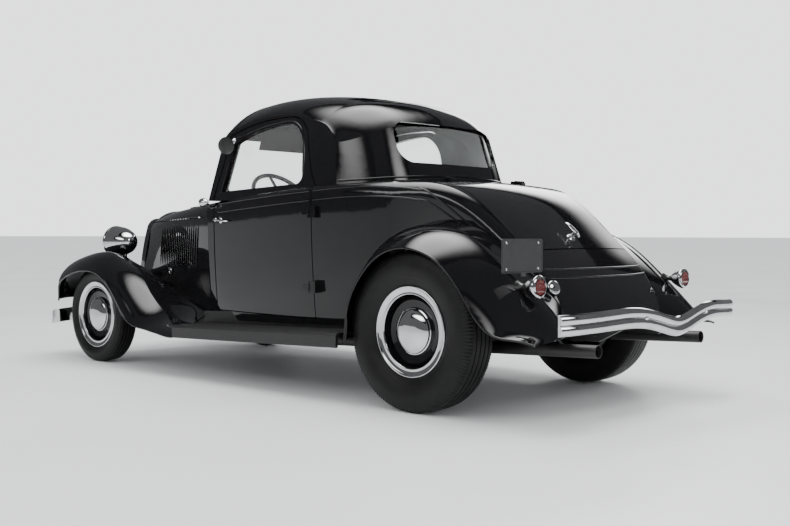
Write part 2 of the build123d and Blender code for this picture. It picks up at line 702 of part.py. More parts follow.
with BuildPart() as floor_pan:
    add(slab(polygon_profile([
        (1785.0, sill_z(1785.0)), (RISER, sill_z(RISER)), (RISER, sill_z(RISER) - FLOOR_THICK),
        (1785.0, sill_z(1785.0) - FLOOR_THICK)]), -FLOOR_HALF, FLOOR_HALF))
    add(slab(polygon_profile([
        (RISER + FLOOR_THICK, sill_z(RISER) - 2.0), (RISER + FLOOR_THICK, BOOT_FLOOR_Z),
        (BOOT_FLOOR_END, BOOT_FLOOR_Z), (BOOT_FLOOR_END, BOOT_FLOOR_Z - FLOOR_THICK),
        (RISER, BOOT_FLOOR_Z - FLOOR_THICK), (RISER, sill_z(RISER) - 2.0)]),
        -BOOT_HALF, BOOT_HALF))
floor_pan.part.label = "floor_pan"
export_step(floor_pan.part, "parts/floor_pan.step")

# Frame: two rails that kick up over the rear axle, joined by cross members.
RAIL_INNER = 325.0
RAIL_OUTER = 385.0
RAIL_OUTLINE = [
    (3330, 385), (2950, 440), (2740, 440), (2500, 360), (1785, 325), (RISER, 360), (230, 560), (-220, 570),
    (-520, 480), (-520, 400), (-220, 480), (200, 470), (400, 255), (600, 245), (1785, 210),
    (2500, 262), (2740, 364), (2950, 364), (3330, 305)]
# station, low z, high z, length along the car
CROSS_MEMBERS = [(3290, 310, 380, 50), (2845, 400, 440, 110), (1900, 225, 300, 90),
                 (620, 250, 320, 80), (0, 500, 560, 120), (-490, 380, 425, 50)]

MEMBER_LAP = 10.0
FRONT_MEMBER_Z = 390.0
FRONT_MEMBER = (110.0, 2.0 * RAIL_OUTER, 60.0)

with BuildPart() as frame_rails:
    for sign in SIDES.values():
        add(slab(polygon_profile(RAIL_OUTLINE), sign * RAIL_INNER, sign * RAIL_OUTER))
    for station, low, high, length in CROSS_MEMBERS:
        with Locations(at(station, 0.0, 0.5 * (low + high))):
            Box(length, 2.0 * (RAIL_INNER + MEMBER_LAP), high - low)
    with Locations(at(WHEELBASE, 0.0, FRONT_MEMBER_Z)):
        Box(*FRONT_MEMBER)
    add(floor_pan.part, mode=Mode.SUBTRACT)
frame_rails.part.label = "frame_rails"
export_step(frame_rails.part, "parts/frame_rails.step")

# Engine as one plain block standing on a cross member, with a radiator ahead of it.
ENGINE_PLACE = (2310.0, 0.0, 620.0)
ENGINE = (720.0, 420.0, 480.0)
ENGINE_ROUND = 40.0
GEARBOX_PLACE = (1960.0, 0.0, 430.0)
GEARBOX = (320.0, 240.0, 260.0)
with BuildPart() as engine_block:
    with Locations(at(*ENGINE_PLACE)):
        Box(*ENGINE)
    fillet(engine_block.edges().filter_by(Axis.X), ENGINE_ROUND)
    with Locations(at(*GEARBOX_PLACE)):
        Box(*GEARBOX)
    add(frame_rails.part, mode=Mode.SUBTRACT)
engine_block.part.label = "engine_block"
export_step(engine_block.part, "parts/engine_block.step")

RADIATOR = (60.0, 400.0, 440.0)
RADIATOR_STATION = 2865.0
RADIATOR_FOOT_Z = 440.0
with BuildPart() as radiator:
    with Locations(at(RADIATOR_STATION, 0.0, RADIATOR_FOOT_Z + RADIATOR[2] / 2)):
        Box(*RADIATOR)
radiator.part.label = "radiator"
export_step(radiator.part, "parts/radiator.step")

# Axles.
SPINDLE_R = 20.0
KINGPIN_R = 12.0
AXLE_BOSS_R = 24.0
AXLE_BOSS_HALF = 36.0
KINGPIN_HALF = 66.0
STUB_R = 25.0
TUBE_R = 38.0
DRUM_R = 150.0
BEAM_THICK = 44.0
BEAM_DROP_Y = 470.0
# top and bottom of the beam at its ends and along its dropped middle
BEAM_END_Z = (330.0, 292.0)
BEAM_MIDDLE_Z = (262.0, 214.0)
SPRING_PAD_PLACE = (440.0, 305.0)
SPRING_PAD = (40.0, 36.0, 110.0)
ROD_START = (WHEELBASE, 400.0, 240.0)
ROD_END = (1880.0, 40.0, 200.0)
ROD_R = 17.0
ROD_BALL = (1880.0, 0.0, 205.0)
ROD_BALL_R = 48.0
SPRING_Z = 350.0
SPRING_HALF = 470.0
SPRING_WIDE = 50.0
# top and bottom of the cross spring at its eyes and at its middle
SPRING_EYE_Z = (SPRING_Z - 20.0, SPRING_Z - 38.0)
SPRING_CROWN_Z = (SPRING_Z + 10.0, SPRING_Z - 30.0)
REAR_TUBE_HALF = 640.0
REAR_STUB_HALF = 750.0
DIFFERENTIAL_R = 140.0
DRUM_SPAN = (610.0, 655.0)
PERCH_Y = 355.0
PERCH_TOP_Z = 490.0
PERCH = (60.0, 44.0)


def cross_cylinder(radius, station, z, low_y, high_y):
    """A cylinder lying across the car between two half widths."""
    plane = Plane(origin=at(station, low_y, z), x_dir=(1, 0, 0), z_dir=(0, 1, 0))
    return Solid.make_cylinder(radius, high_y - low_y, plane)


with BuildPart() as front_axle:
    beam = [(-KINGPIN_Y, BEAM_END_Z[0]), (-BEAM_DROP_Y, BEAM_MIDDLE_Z[0]),
            (BEAM_DROP_Y, BEAM_MIDDLE_Z[0]), (KINGPIN_Y, BEAM_END_Z[0]),
            (KINGPIN_Y, BEAM_END_Z[1]), (BEAM_DROP_Y, BEAM_MIDDLE_Z[1]),
            (-BEAM_DROP_Y, BEAM_MIDDLE_Z[1]), (-KINGPIN_Y, BEAM_END_Z[1])]
    with BuildSketch(Plane.YZ.offset(REAR_AXLE_X + WHEELBASE - BEAM_THICK / 2)):
        with BuildLine():
            Polyline(*beam, close=True)
        make_face()
    extrude(amount=BEAM_THICK)
    for sign in SIDES.values():
        with Locations(at(WHEELBASE, sign * KINGPIN_Y, FRONT_HUB_Z)):
            Cylinder(AXLE_BOSS_R, 2.0 * AXLE_BOSS_HALF)
            Cylinder(KINGPIN_R, 2.0 * KINGPIN_HALF)
        with Locations(at(WHEELBASE, sign * SPRING_PAD_PLACE[0], SPRING_PAD_PLACE[1])):
            Box(*SPRING_PAD)
        rod_start = Vector(*at(ROD_START[0], sign * ROD_START[1], ROD_START[2]))
        rod_end = Vector(*at(ROD_END[0], sign * ROD_END[1], ROD_END[2]))
        rod = Plane(origin=rod_start, z_dir=rod_end - rod_start)
        add(Solid.make_cylinder(ROD_R, (rod_end - rod_start).length, rod))
    with Locations(at(*ROD_BALL)):
        Sphere(ROD_BALL_R)
    with BuildSketch(Plane.YZ.offset(REAR_AXLE_X + WHEELBASE - SPRING_WIDE / 2)):
        with BuildLine():
            ThreePointArc((-SPRING_HALF, SPRING_EYE_Z[0]), (0.0, SPRING_CROWN_Z[0]),
                          (SPRING_HALF, SPRING_EYE_Z[0]))
            Line((SPRING_HALF, SPRING_EYE_Z[0]), (SPRING_HALF, SPRING_EYE_Z[1]))
            ThreePointArc((SPRING_HALF, SPRING_EYE_Z[1]), (0.0, SPRING_CROWN_Z[1]),
                          (-SPRING_HALF, SPRING_EYE_Z[1]))
            Line((-SPRING_HALF, SPRING_EYE_Z[1]), (-SPRING_HALF, SPRING_EYE_Z[0]))
        make_face()
    extrude(amount=SPRING_WIDE)
    add(frame_rails.part, mode=Mode.SUBTRACT)
front_axle.part.label = "front_axle"
export_step(front_axle.part, "parts/front_axle.step")

EAR_THICK = 22.0
EAR_R = 27.0
EAR_GAP = 4.0
EAR_ARM = (40.0, 56.0)
KNUCKLE_BLOCK_Y = 648.0
KNUCKLE_BLOCK = (60.0, 22.0)
KNUCKLE_BORE = 300.0
SPINDLE_SPAN = (650.0, 730.0)
for side, sign in SIDES.items():
    with BuildPart() as knuckle:
        for up in (1.0, -1.0):
            ear_z = FRONT_HUB_Z + up * (AXLE_BOSS_HALF + EAR_GAP + EAR_THICK / 2)
            with Locations(at(WHEELBASE, sign * KINGPIN_Y, ear_z)):
                Cylinder(EAR_R, EAR_THICK)
            with Locations(at(WHEELBASE, sign * (KINGPIN_Y + EAR_ARM[1] / 2), ear_z)):
                Box(*EAR_ARM, EAR_THICK)
        with Locations(at(WHEELBASE, sign * KNUCKLE_BLOCK_Y, FRONT_HUB_Z)):
            Box(*KNUCKLE_BLOCK, 2.0 * (AXLE_BOSS_HALF + EAR_GAP + EAR_THICK))
        with Locations(at(WHEELBASE, sign * KINGPIN_Y, FRONT_HUB_Z)):
            Cylinder(KINGPIN_R + FIT, KNUCKLE_BORE, mode=Mode.SUBTRACT)
        add(cross_cylinder(SPINDLE_R, WHEELBASE, FRONT_HUB_Z, *sorted(sign * y for y in SPINDLE_SPAN)))
    knuckle.part.label = f"knuckle_{side}"
    export_step(knuckle.part, f"parts/knuckle_{side}.step")

with BuildPart() as rear_axle:
    add(cross_cylinder(TUBE_R, 0.0, REAR_HUB_Z, -REAR_TUBE_HALF, REAR_TUBE_HALF))
    add(cross_cylinder(STUB_R, 0.0, REAR_HUB_Z, -REAR_STUB_HALF, REAR_STUB_HALF))
    with Locations(at(0.0, 0.0, REAR_HUB_Z)):
        Sphere(DIFFERENTIAL_R)
    for sign in SIDES.values():
        add(cross_cylinder(DRUM_R, 0.0, REAR_HUB_Z, *sorted(sign * y for y in DRUM_SPAN)))
        with Locations(at(0.0, sign * PERCH_Y, 0.5 * (REAR_HUB_Z + PERCH_TOP_Z))):
            Box(*PERCH, PERCH_TOP_Z - REAR_HUB_Z)
    add(frame_rails.part, mode=Mode.SUBTRACT)
rear_axle.part.label = "rear_axle"
export_step(rear_axle.part, "parts/rear_axle.step")

# Wheels and tyres, turned about their hubs. Across runs outward from the tyre's middle.
RIM_R = 203.0
FLANGE_R = 219.0
CAP_R = 108.0
# tyre radius, half section, rim half width, bore radius, bore depth, disc plane, hub face
WHEELS = {
    "front": (FRONT_HUB_Z, 72.0, 52.0, SPINDLE_R + FIT, 34.0, 26.0, -30.0),
    "rear": (REAR_HUB_Z, 100.0, 70.0, STUB_R + FIT, 31.0, 36.0, -60.0),
}


def turned(points, plane):
    """A closed profile of across and radius turned about the hub line."""
    with BuildPart() as solid:
        with BuildSketch(plane):
            with BuildLine():
                Polyline(*points, close=True)
            make_face()
        revolve(axis=Axis(plane.origin, plane.x_dir))
    return solid.part


for place, (radius, half, rim, bore, bore_end, disc, hub) in WHEELS.items():
    for side, sign in SIDES.items():
        track = FRONT_TRACK_HALF if place == "front" else REAR_TRACK_HALF
        centre = at(WHEELBASE if place == "front" else 0.0, sign * track, radius)
        hub_plane = Plane(origin=centre, x_dir=(0, sign, 0), z_dir=(1, 0, 0))
        wheel_profile = [
            (-rim, RIM_R), (-rim, FLANGE_R), (-rim + 8, FLANGE_R), (-rim + 8, RIM_R), (rim - 8, RIM_R),
            (rim - 8, FLANGE_R), (rim, FLANGE_R), (rim + 2, FLANGE_R - 10), (rim - 6, RIM_R - 24),
            (disc - 10, RIM_R - 34), (disc + 6, 150.0), (disc, CAP_R), (disc + 20, CAP_R - 6),
            (disc + 30, 74.0), (disc + 36, 44.0), (disc + 38, 0.001), (bore_end, 0.001), (bore_end, bore),
            (hub, bore), (hub, 52.0), (disc - 18, 58.0), (disc - 14, 140.0), (-rim + 20, RIM_R - 26),
            (-rim + 4, RIM_R - 8)]
        tyre_profile = [
            (-rim + 8, RIM_R), (-rim + 8, FLANGE_R), (-rim, FLANGE_R),
            (-half + 4, 0.30 * radius + 0.70 * FLANGE_R),
            (-half, 0.52 * radius + 0.48 * FLANGE_R), (-half + 7, 0.80 * radius + 0.20 * FLANGE_R),
            (-0.78 * half, radius - 10.0), (-0.62 * half, radius),
            (0.62 * half, radius), (0.78 * half, radius - 10.0),
            (half - 7, 0.80 * radius + 0.20 * FLANGE_R), (half, 0.52 * radius + 0.48 * FLANGE_R),
            (half - 4, 0.30 * radius + 0.70 * FLANGE_R),
            (rim, FLANGE_R), (rim - 8, FLANGE_R), (rim - 8, RIM_R)]
        with BuildPart() as wheel:
            add(turned(wheel_profile, hub_plane))
        wheel.part.label = f"wheel_{place}_{side}"
        export_step(wheel.part, f"parts/wheel_{place}_{side}.step")
        with BuildPart() as tyre:
            add(turned(tyre_profile, hub_plane))
        tyre.part.label = f"tyre_{place}_{side}"
        export_step(tyre.part, f"parts/tyre_{place}_{side}.step")


def outermost(part, axis):
    """The solid of a part that reaches furthest along an axis."""
    return part.solids().sort_by(axis)[-1]


# Running boards with a splash apron up to the sill.
BOARD_OUTER = 856.0
BOARD_INNER = 606.0
# station, lower edge, upper edge
BOARD_ENDS = [(FRONT_FENDER_END, 234.0, 308.0), (440.0, 279.0, 353.0)]
APRON_RISE = 72.0
BOARD_THICK = 16.0
BOARD_EDGE = 14.0


def board_section(station, low, high, sign):
    inner, edge = BOARD_INNER + BOARD_THICK, BOARD_OUTER - BOARD_THICK
    outline = [(BOARD_OUTER, low), (BOARD_OUTER, high - BOARD_EDGE), (BOARD_OUTER - BOARD_EDGE, high),
               (inner, high), (inner, high + APRON_RISE), (BOARD_INNER, high + APRON_RISE),
               (BOARD_INNER, high - BOARD_THICK), (edge, high - BOARD_THICK), (edge, low)]
    corners = [at(station, sign * y, z) for y, z in outline]
    return section_face(list(zip(corners, corners[1:] + corners[:1])))


for side, sign in SIDES.items():
    with BuildPart() as board_form:
        loft(sections=[board_section(*end, sign) for end in BOARD_ENDS], ruled=True)
        for piece in (body_shell.part, floor_pan.part, fenders["rear", side]):
            add(piece, mode=Mode.SUBTRACT)
    with BuildPart() as running_board:
        add(max(board_form.part.solids(), key=lambda solid: solid.volume))
    running_board.part.label = f"running_board_{side}"
    export_step(running_board.part, f"parts/running_board_{side}.step")

# Bumpers: a two-ribbed bar that dips at the middle and sweeps back at its ends.
BUMPER_HALF_HEIGHT = 46.0
BUMPER_RIB = 20.0
# half width, station, height
REAR_BUMPER_ROWS = [(0.0, -955.0, 422.0), (140.0, -952.0, 446.0), (275.0, -945.0, 472.0),
                    (520.0, -912.0, 474.0), (760.0, -850.0, 463.0), (788.0, -832.0, 461.0)]
FRONT_BUMPER_ROWS = [(0.0, 3475.0, 240.0), (140.0, 3472.0, 262.0), (275.0, 3463.0, 284.0),
                     (520.0, 3430.0, 283.0), (772.0, 3345.0, 273.0), (808.0, 3305.0, 272.0)]


def bumper_section(y, station, z, out):
    top, foot = at(station, y, z + BUMPER_HALF_HEIGHT), at(station, y, z - BUMPER_HALF_HEIGHT)
    groove = at(station + out * 9.0, y, z)
    ribs = [at(station + out * BUMPER_RIB, y, z + up * 0.52 * BUMPER_HALF_HEIGHT) for up in (1, -1)]
    return section_face([(foot, top), (top, ribs[0], groove), (groove, ribs[1], foot)])


bumpers = {}
for place, rows, out in (("rear", REAR_BUMPER_ROWS, -1.0), ("front", FRONT_BUMPER_ROWS, 1.0)):
    across = [(-y, x, z) for y, x, z in reversed(rows) if y] + rows
    with BuildPart() as bumper:
        loft(sections=[bumper_section(*row, out) for row in across])
    bumper.part.label = f"{place}_bumper"
    export_step(bumper.part, f"parts/{place}_bumper.step")
    bumpers[place] = bumper.part

REAR_IRON = [(-470, 380), (-560, 380), (-700, 376), (-900, 480), (-948, 480), (-948, 452), (-906, 452),
             (-708, 350), (-470, 350)]
REAR_IRON_SPAN = (262.0, 288.0)
FRONT_IRON = [(3330, 308), (3462, 308), (3462, 326), (3330, 326)]
FRONT_IRON_SPAN = (330.0, 356.0)
with BuildPart() as bumper_irons:
    for sign in SIDES.values():
        add(slab(polygon_profile(REAR_IRON), *(sign * y for y in REAR_IRON_SPAN)))
        add(slab(polygon_profile(FRONT_IRON), *(sign * y for y in FRONT_IRON_SPAN)))
    for piece in bumpers.values():
        add(piece, mode=Mode.SUBTRACT)
bumper_irons.part.label = "bumper_irons"
export_step(bumper_irons.part, "parts/bumper_irons.step")

# Exhaust pipes, straight to the tail, hung from the floor.
PIPE_Y = 476.0
PIPE_R = 30.0
PIPE_TAIL = (-833.0, 330.0)
PIPE_NOSE = (900.0, 262.0)
PIPE_WALL = 3.0
HANGER_PLACE = (620.0, 320.0)
HANGER = (24.0, 20.0, 70.0)
with BuildPart() as exhaust_pipes:
    for sign in SIDES.values():
        tail = Vector(*at(PIPE_TAIL[0], sign * PIPE_Y, PIPE_TAIL[1]))
        nose = Vector(*at(PIPE_NOSE[0], sign * PIPE_Y, PIPE_NOSE[1]))
        along = Plane(origin=tail, z_dir=nose - tail)
        with Locations(at(HANGER_PLACE[0], sign * PIPE_Y, HANGER_PLACE[1])):
            Box(*HANGER)
        add(Solid.make_cylinder(PIPE_R, (nose - tail).length, along))
        add(Solid.make_cylinder(PIPE_R - PIPE_WALL, (nose - tail).length, along), mode=Mode.SUBTRACT)
    add(floor_pan.part, mode=Mode.SUBTRACT)
exhaust_pipes.part.label = "exhaust_pipes"
export_step(exhaust_pipes.part, "parts/exhaust_pipes.step")

TANK_PLACE = (-420.0, 0.0, 500.0)
TANK = (230.0, 600.0, 150.0)
TANK_ROUND = 30.0
with BuildPart() as fuel_tank:
    with Locations(at(*TANK_PLACE)):
        Box(*TANK)
    fillet(fuel_tank.edges().filter_by(Axis.Y), TANK_ROUND)
fuel_tank.part.label = "fuel_tank"
export_step(fuel_tank.part, "parts/fuel_tank.step")

# Filler neck and its cap, beside the left tail lamp.
CAP_PLACE = (-585.0, 455.0, 598.0)
CAP_AXIS = (-0.9, 0.25, 0.35)
FILLER_R = 22.0
FILLER_LENGTH = 90.0
FILLER_LAP = 2.0
FILLER_CAP_R = 33.0
FILLER_CAP_THICK = 24.0
with BuildPart() as cap_form:
    cap_plane = Plane(origin=at(*CAP_PLACE), z_dir=CAP_AXIS)
    with BuildSketch(cap_plane.offset(-FILLER_LENGTH)):
        Circle(FILLER_R)
    extrude(amount=FILLER_LENGTH + FILLER_LAP)
    with BuildSketch(cap_plane):
        Circle(FILLER_CAP_R)
    extrude(amount=FILLER_CAP_THICK)
    add(body_form.part, mode=Mode.SUBTRACT)
    add(fenders["rear", "left"], mode=Mode.SUBTRACT)
with BuildPart() as fuel_cap:
    add(outermost(cap_form.part, Axis((0, 0, 0), (-1, 0, 0))))
fuel_cap.part.label = "fuel_cap"
export_step(fuel_cap.part, "parts/fuel_cap.step")

# Lamps.
HEADLAMP = (2907.0, 500.0, 789.0)
HEADLAMP_R = 104.0
HEADLAMP_FACE = 96.0
HEADLAMP_LENGTH = 180.0
HEADLAMP_RIM = 20.0
# aft and down from the lamp's middle to the middle of its stalk
STALK_SHIFT = (-10.0, -95.0)
STALK_R = 15.0
STALK_LENGTH = 70.0
LENS_R = 96.0
LENS_BULGE = 12.0
LENS_TAPER = 18.0
with BuildPart() as headlamp_form:
    for side, sign in SIDES.items():
        x, y, z = HEADLAMP
        lamp_plane = Plane(origin=at(x, sign * y, z), x_dir=(1, 0, 0), z_dir=(0, -1, 0))
        bulge = HEADLAMP_FACE - HEADLAMP_RIM
        with BuildSketch(lamp_plane):
            with BuildLine():
                EllipticalCenterArc((bulge, 0.0), HEADLAMP_LENGTH, HEADLAMP_R, 90.0, arc_size=90.0)
                Polyline((bulge - HEADLAMP_LENGTH, 0.0), (HEADLAMP_FACE, 0.0),
                         (HEADLAMP_FACE, HEADLAMP_R), (bulge, HEADLAMP_R))
            make_face()
        revolve(axis=Axis(lamp_plane.origin, (1, 0, 0)))
        with Locations(at(x + STALK_SHIFT[0], sign * y, z + STALK_SHIFT[1])):
            Cylinder(STALK_R, STALK_LENGTH)
        add(fenders["front", side], mode=Mode.SUBTRACT)
with BuildPart() as headlamps:
    for solid in headlamp_form.part.solids().sort_by(Axis.Z)[-2:]:
        add(solid)
headlamps.part.label = "headlamps"
export_step(headlamps.part, "parts/headlamps.step")

with BuildPart() as headlamp_lenses:
    for sign in SIDES.values():
        x, y, z = HEADLAMP
        lens_plane = Plane(origin=at(x + HEADLAMP_FACE, sign * y, z), x_dir=(0, 1, 0), z_dir=(1, 0, 0))
        with BuildSketch(lens_plane):
            Circle(LENS_R)
        extrude(amount=LENS_BULGE, taper=LENS_TAPER)
headlamp_lenses.part.label = "headlamp_lenses"
export_step(headlamp_lenses.part, "parts/headlamp_lenses.step")

COWL_LAMP = (1757.0, 672.0, 1030.0)
COWL_LAMP_R = 26.0
COWL_LAMP_HALF = 30.0
COWL_LAMP_RIM = 4.0
COWL_LAMP_WAIST = (-8.0, 20.0)
COWL_STEM_LEAN = (0.85, 0.53)
COWL_STEM_R = 9.0
COWL_STEM_LENGTH = 80.0
with BuildPart() as cowl_lamp_form:
    for sign in SIDES.values():
        x, y, z = COWL_LAMP
        lamp_plane = Plane(origin=at(x, sign * y, z), x_dir=(1, 0, 0), z_dir=(0, 1, 0))
        with BuildSketch(lamp_plane):
            with BuildLine():
                rim_start = COWL_LAMP_HALF - COWL_LAMP_RIM
                ThreePointArc((rim_start, COWL_LAMP_R), COWL_LAMP_WAIST, (-COWL_LAMP_HALF, 0.0))
                Polyline((-COWL_LAMP_HALF, 0.0), (COWL_LAMP_HALF, 0.0),
                         (COWL_LAMP_HALF, COWL_LAMP_R), (rim_start, COWL_LAMP_R))
            make_face()
        revolve(axis=Axis(lamp_plane.origin, (1, 0, 0)))
        stem = Plane(origin=at(x, sign * y, z), z_dir=(0, -sign * COWL_STEM_LEAN[0], -COWL_STEM_LEAN[1]))
        add(Solid.make_cylinder(COWL_STEM_R, COWL_STEM_LENGTH, stem))
    add(body_form.part, mode=Mode.SUBTRACT)
with BuildPart() as cowl_lamps:
    for axis in (Axis.Y, Axis((0, 0, 0), (0, -1, 0))):
        add(outermost(cowl_lamp_form.part, axis))
cowl_lamps.part.label = "cowl_lamps"
export_step(cowl_lamps.part, "parts/cowl_lamps.step")

TAIL_LAMP = (-640.0, 656.0, 613.0)
TAIL_LENS_R = 38.0
TAIL_LENS_BULGE = 10.0
TAIL_LENS_TAPER = 20.0
TAIL_FACE_R = 52.0
TAIL_BACK_R = 28.0
TAIL_DEPTH = 58.0
TAIL_STEM_R = 13.0
TAIL_STEM_START = 50.0
TAIL_STEM_LENGTH = 170.0
PLATE_STAY = (8.0, 40.0, 150.0)
PLATE_STAY_STATION = -555.0
PLATE_STAY_RISE = 65.0
with BuildPart() as tail_lamp_form:
    for side, sign in SIDES.items():
        x, y, z = TAIL_LAMP
        face = Plane(origin=at(x, sign * y, z), z_dir=(1, 0, 0))
        with BuildSketch(face):
            Circle(TAIL_FACE_R)
        with BuildSketch(face.offset(TAIL_DEPTH)):
            Circle(TAIL_BACK_R)
        loft()
        with BuildSketch(face.offset(TAIL_STEM_START)):
            Circle(TAIL_STEM_R)
        extrude(amount=TAIL_STEM_LENGTH)
        if side == "left":
            with Locations(at(PLATE_STAY_STATION, y, z + PLATE_STAY_RISE)):
                Box(*PLATE_STAY)
        add(fenders["rear", side], mode=Mode.SUBTRACT)
with BuildPart() as tail_lamps:
    for solid in tail_lamp_form.part.solids().sort_by(Axis.X)[:2]:
        add(solid)
tail_lamps.part.label = "tail_lamps"
export_step(tail_lamps.part, "parts/tail_lamps.step")

with BuildPart() as tail_lamp_lenses:
    for sign in SIDES.values():
        x, y, z = TAIL_LAMP
        with BuildSketch(Plane(origin=at(x, sign * y, z), z_dir=(-1, 0, 0))):
            Circle(TAIL_LENS_R)
        extrude(amount=TAIL_LENS_BULGE, taper=TAIL_LENS_TAPER)
tail_lamp_lenses.part.label = "tail_lamp_lenses"
export_step(tail_lamp_lenses.part, "parts/tail_lamp_lenses.step")

PLATE_SIZE = (305.0, 152.0)
PLATE_ROUND = 14.0
PLATE_THICK = 2.0
PLATE_MID = (-559.0, 668.0, 750.0)
with BuildPart() as plate:
    with BuildSketch(Plane(origin=at(*PLATE_MID), x_dir=(0, 1, 0), z_dir=(-1, 0, 0))):
        RectangleRounded(*PLATE_SIZE, PLATE_ROUND)
    extrude(amount=PLATE_THICK)
plate.part.label = "plate"
export_step(plate.part, "parts/plate.step")

# Cabin.
SEAT_HALF = 540.0
SEAT_ROUND = 40.0
SILL_CUT_HALF = 700.0
CUSHION_OUTLINE = [(900, 300), (1370, 300), (1370, 600), (900, 570)]
BACK_OUTLINE = [(900, 300), (900, 600), (790, 1060), (680, 1060), (750, 600), (750, 300)]
DASH_OUTLINE = [(1770, 1010), (1640, 1014), (1606, 960), (1640, 890), (1770, 890)]
DASH_HALF = 530.0
with BuildPart() as seat_cushion:
    add(slab(polygon_profile(CUSHION_OUTLINE), -SEAT_HALF, SEAT_HALF))
    add(slab(below_sill, -SILL_CUT_HALF, SILL_CUT_HALF), mode=Mode.SUBTRACT)
    fillet(seat_cushion.edges().filter_by(Axis.Y).sort_by(Axis.Z)[-2:], SEAT_ROUND)
seat_cushion.part.label = "seat_cushion"
export_step(seat_cushion.part, "parts/seat_cushion.step")

with BuildPart() as seat_back:
    add(slab(polygon_profile(BACK_OUTLINE), -SEAT_HALF, SEAT_HALF))
    add(slab(below_sill, -SILL_CUT_HALF, SILL_CUT_HALF), mode=Mode.SUBTRACT)
    add(seat_cushion.part, mode=Mode.SUBTRACT)
    fillet(seat_back.edges().filter_by(Axis.Y).sort_by(Axis.Z)[-2:], SEAT_ROUND)
seat_back.part.label = "seat_back"
export_step(seat_back.part, "parts/seat_back.step")

with BuildPart() as dashboard:
    add(slab(polygon_profile(DASH_OUTLINE), -DASH_HALF, DASH_HALF))
    add(body_shell.part, mode=Mode.SUBTRACT)
dashboard.part.label = "dashboard"
export_step(dashboard.part, "parts/dashboard.step")

STEER_HUB = (1409.0, 360.0, 1041.0)
COLUMN_ANGLE = 40.0
COLUMN_R = 20.0
COLUMN_START = 32.0
COLUMN_LENGTH = 430.0
STEER_PIN_R = 9.0
STEER_PIN_LAP = 5.0
STEER_RIM_R = 200.0
STEER_RIM_SECTION = 13.0
STEER_HUB_R = 34.0
STEER_HUB_SPAN = (-12.0, 26.0)
SPOKE_COUNT = 3
SPOKE_WIDE = 18.0
SPOKE_THICK = 8.0
STEER_BORE = 60.0
column_plane = Plane(origin=at(*STEER_HUB), x_dir=(0, 1, 0),
                     z_dir=(cos(radians(COLUMN_ANGLE)), 0, -sin(radians(COLUMN_ANGLE))))
with BuildPart() as steering_column:
    with BuildSketch(column_plane.offset(COLUMN_START)):
        Circle(COLUMN_R)
    extrude(amount=COLUMN_LENGTH)
    with BuildSketch(column_plane):
        Circle(STEER_PIN_R)
    extrude(amount=COLUMN_START + STEER_PIN_LAP)
    add(body_shell.part, mode=Mode.SUBTRACT)
steering_column.part.label = "steering_column"
export_step(steering_column.part, "parts/steering_column.step")

with BuildPart() as steering_wheel:
    with BuildSketch(column_plane.offset(STEER_HUB_SPAN[0])):
        Circle(STEER_HUB_R)
    extrude(amount=STEER_HUB_SPAN[1] - STEER_HUB_SPAN[0])
    with BuildSketch(column_plane.offset(-SPOKE_THICK / 2)):
        with PolarLocations(0.5 * STEER_RIM_R, SPOKE_COUNT, start_angle=90.0):
            Rectangle(STEER_RIM_R, SPOKE_WIDE)
    extrude(amount=SPOKE_THICK)
    with Locations(column_plane):
        Torus(STEER_RIM_R, STEER_RIM_SECTION)
    with BuildSketch(column_plane):
        Circle(STEER_PIN_R + FIT)
    extrude(amount=STEER_BORE, mode=Mode.SUBTRACT)
steering_wheel.part.label = "steering_wheel"
export_step(steering_wheel.part, "parts/steering_wheel.step")

# Bright hardware that rides on the doors and the lid.
HANDLE = (1650.0, 925.0)
HANDLE_STEM_R = 10.0
HANDLE_STEM_SPAN = (600.0, 692.0)
HANDLE_GRIP = (110.0, 14.0, 20.0)
HANDLE_GRIP_AFT = 42.0
MIRROR = (1575.0, 662.0, 1356.0)
MIRROR_ROOT = (1590.0, 575.0, 1392.0)
MIRROR_ARM_R = 6.0
MIRROR_R = 50.0
MIRROR_THICK = 14.0
MIRROR_TURN = 0.15
for side, sign in SIDES.items():
    with BuildPart() as trim_form:
        stem_start, stem_end = HANDLE_STEM_SPAN
        stem = Plane(origin=at(HANDLE[0], sign * stem_start, HANDLE[1]), z_dir=(0, sign, 0))
        add(Solid.make_cylinder(HANDLE_STEM_R, stem_end - stem_start, stem))
        with Locations(at(HANDLE[0] - HANDLE_GRIP_AFT, sign * stem_end, HANDLE[1])):
            Box(*HANDLE_GRIP)
        arm_start = Vector(*at(MIRROR[0], sign * MIRROR[1], MIRROR[2]))
        arm_end = Vector(*at(MIRROR_ROOT[0], sign * MIRROR_ROOT[1], MIRROR_ROOT[2]))
        add(Solid.make_cylinder(MIRROR_ARM_R, (arm_end - arm_start).length,
                                Plane(origin=arm_start, z_dir=arm_end - arm_start)))
        with BuildSketch(Plane(origin=arm_start, z_dir=(-1, MIRROR_TURN * sign, 0))):
            Circle(MIRROR_R)
        extrude(amount=MIRROR_THICK)
        add(body_form.part, mode=Mode.SUBTRACT)
        add(roof_form.part, mode=Mode.SUBTRACT)
    with BuildPart() as door_trim:
        for solid in trim_form.part.solids().sort_by(Axis((0, 0, 0), (0, sign, 0)))[-2:]:
            add(solid)
    door_trim.part.label = f"door_trim_{side}"
    export_step(door_trim.part, f"parts/door_trim_{side}.step")

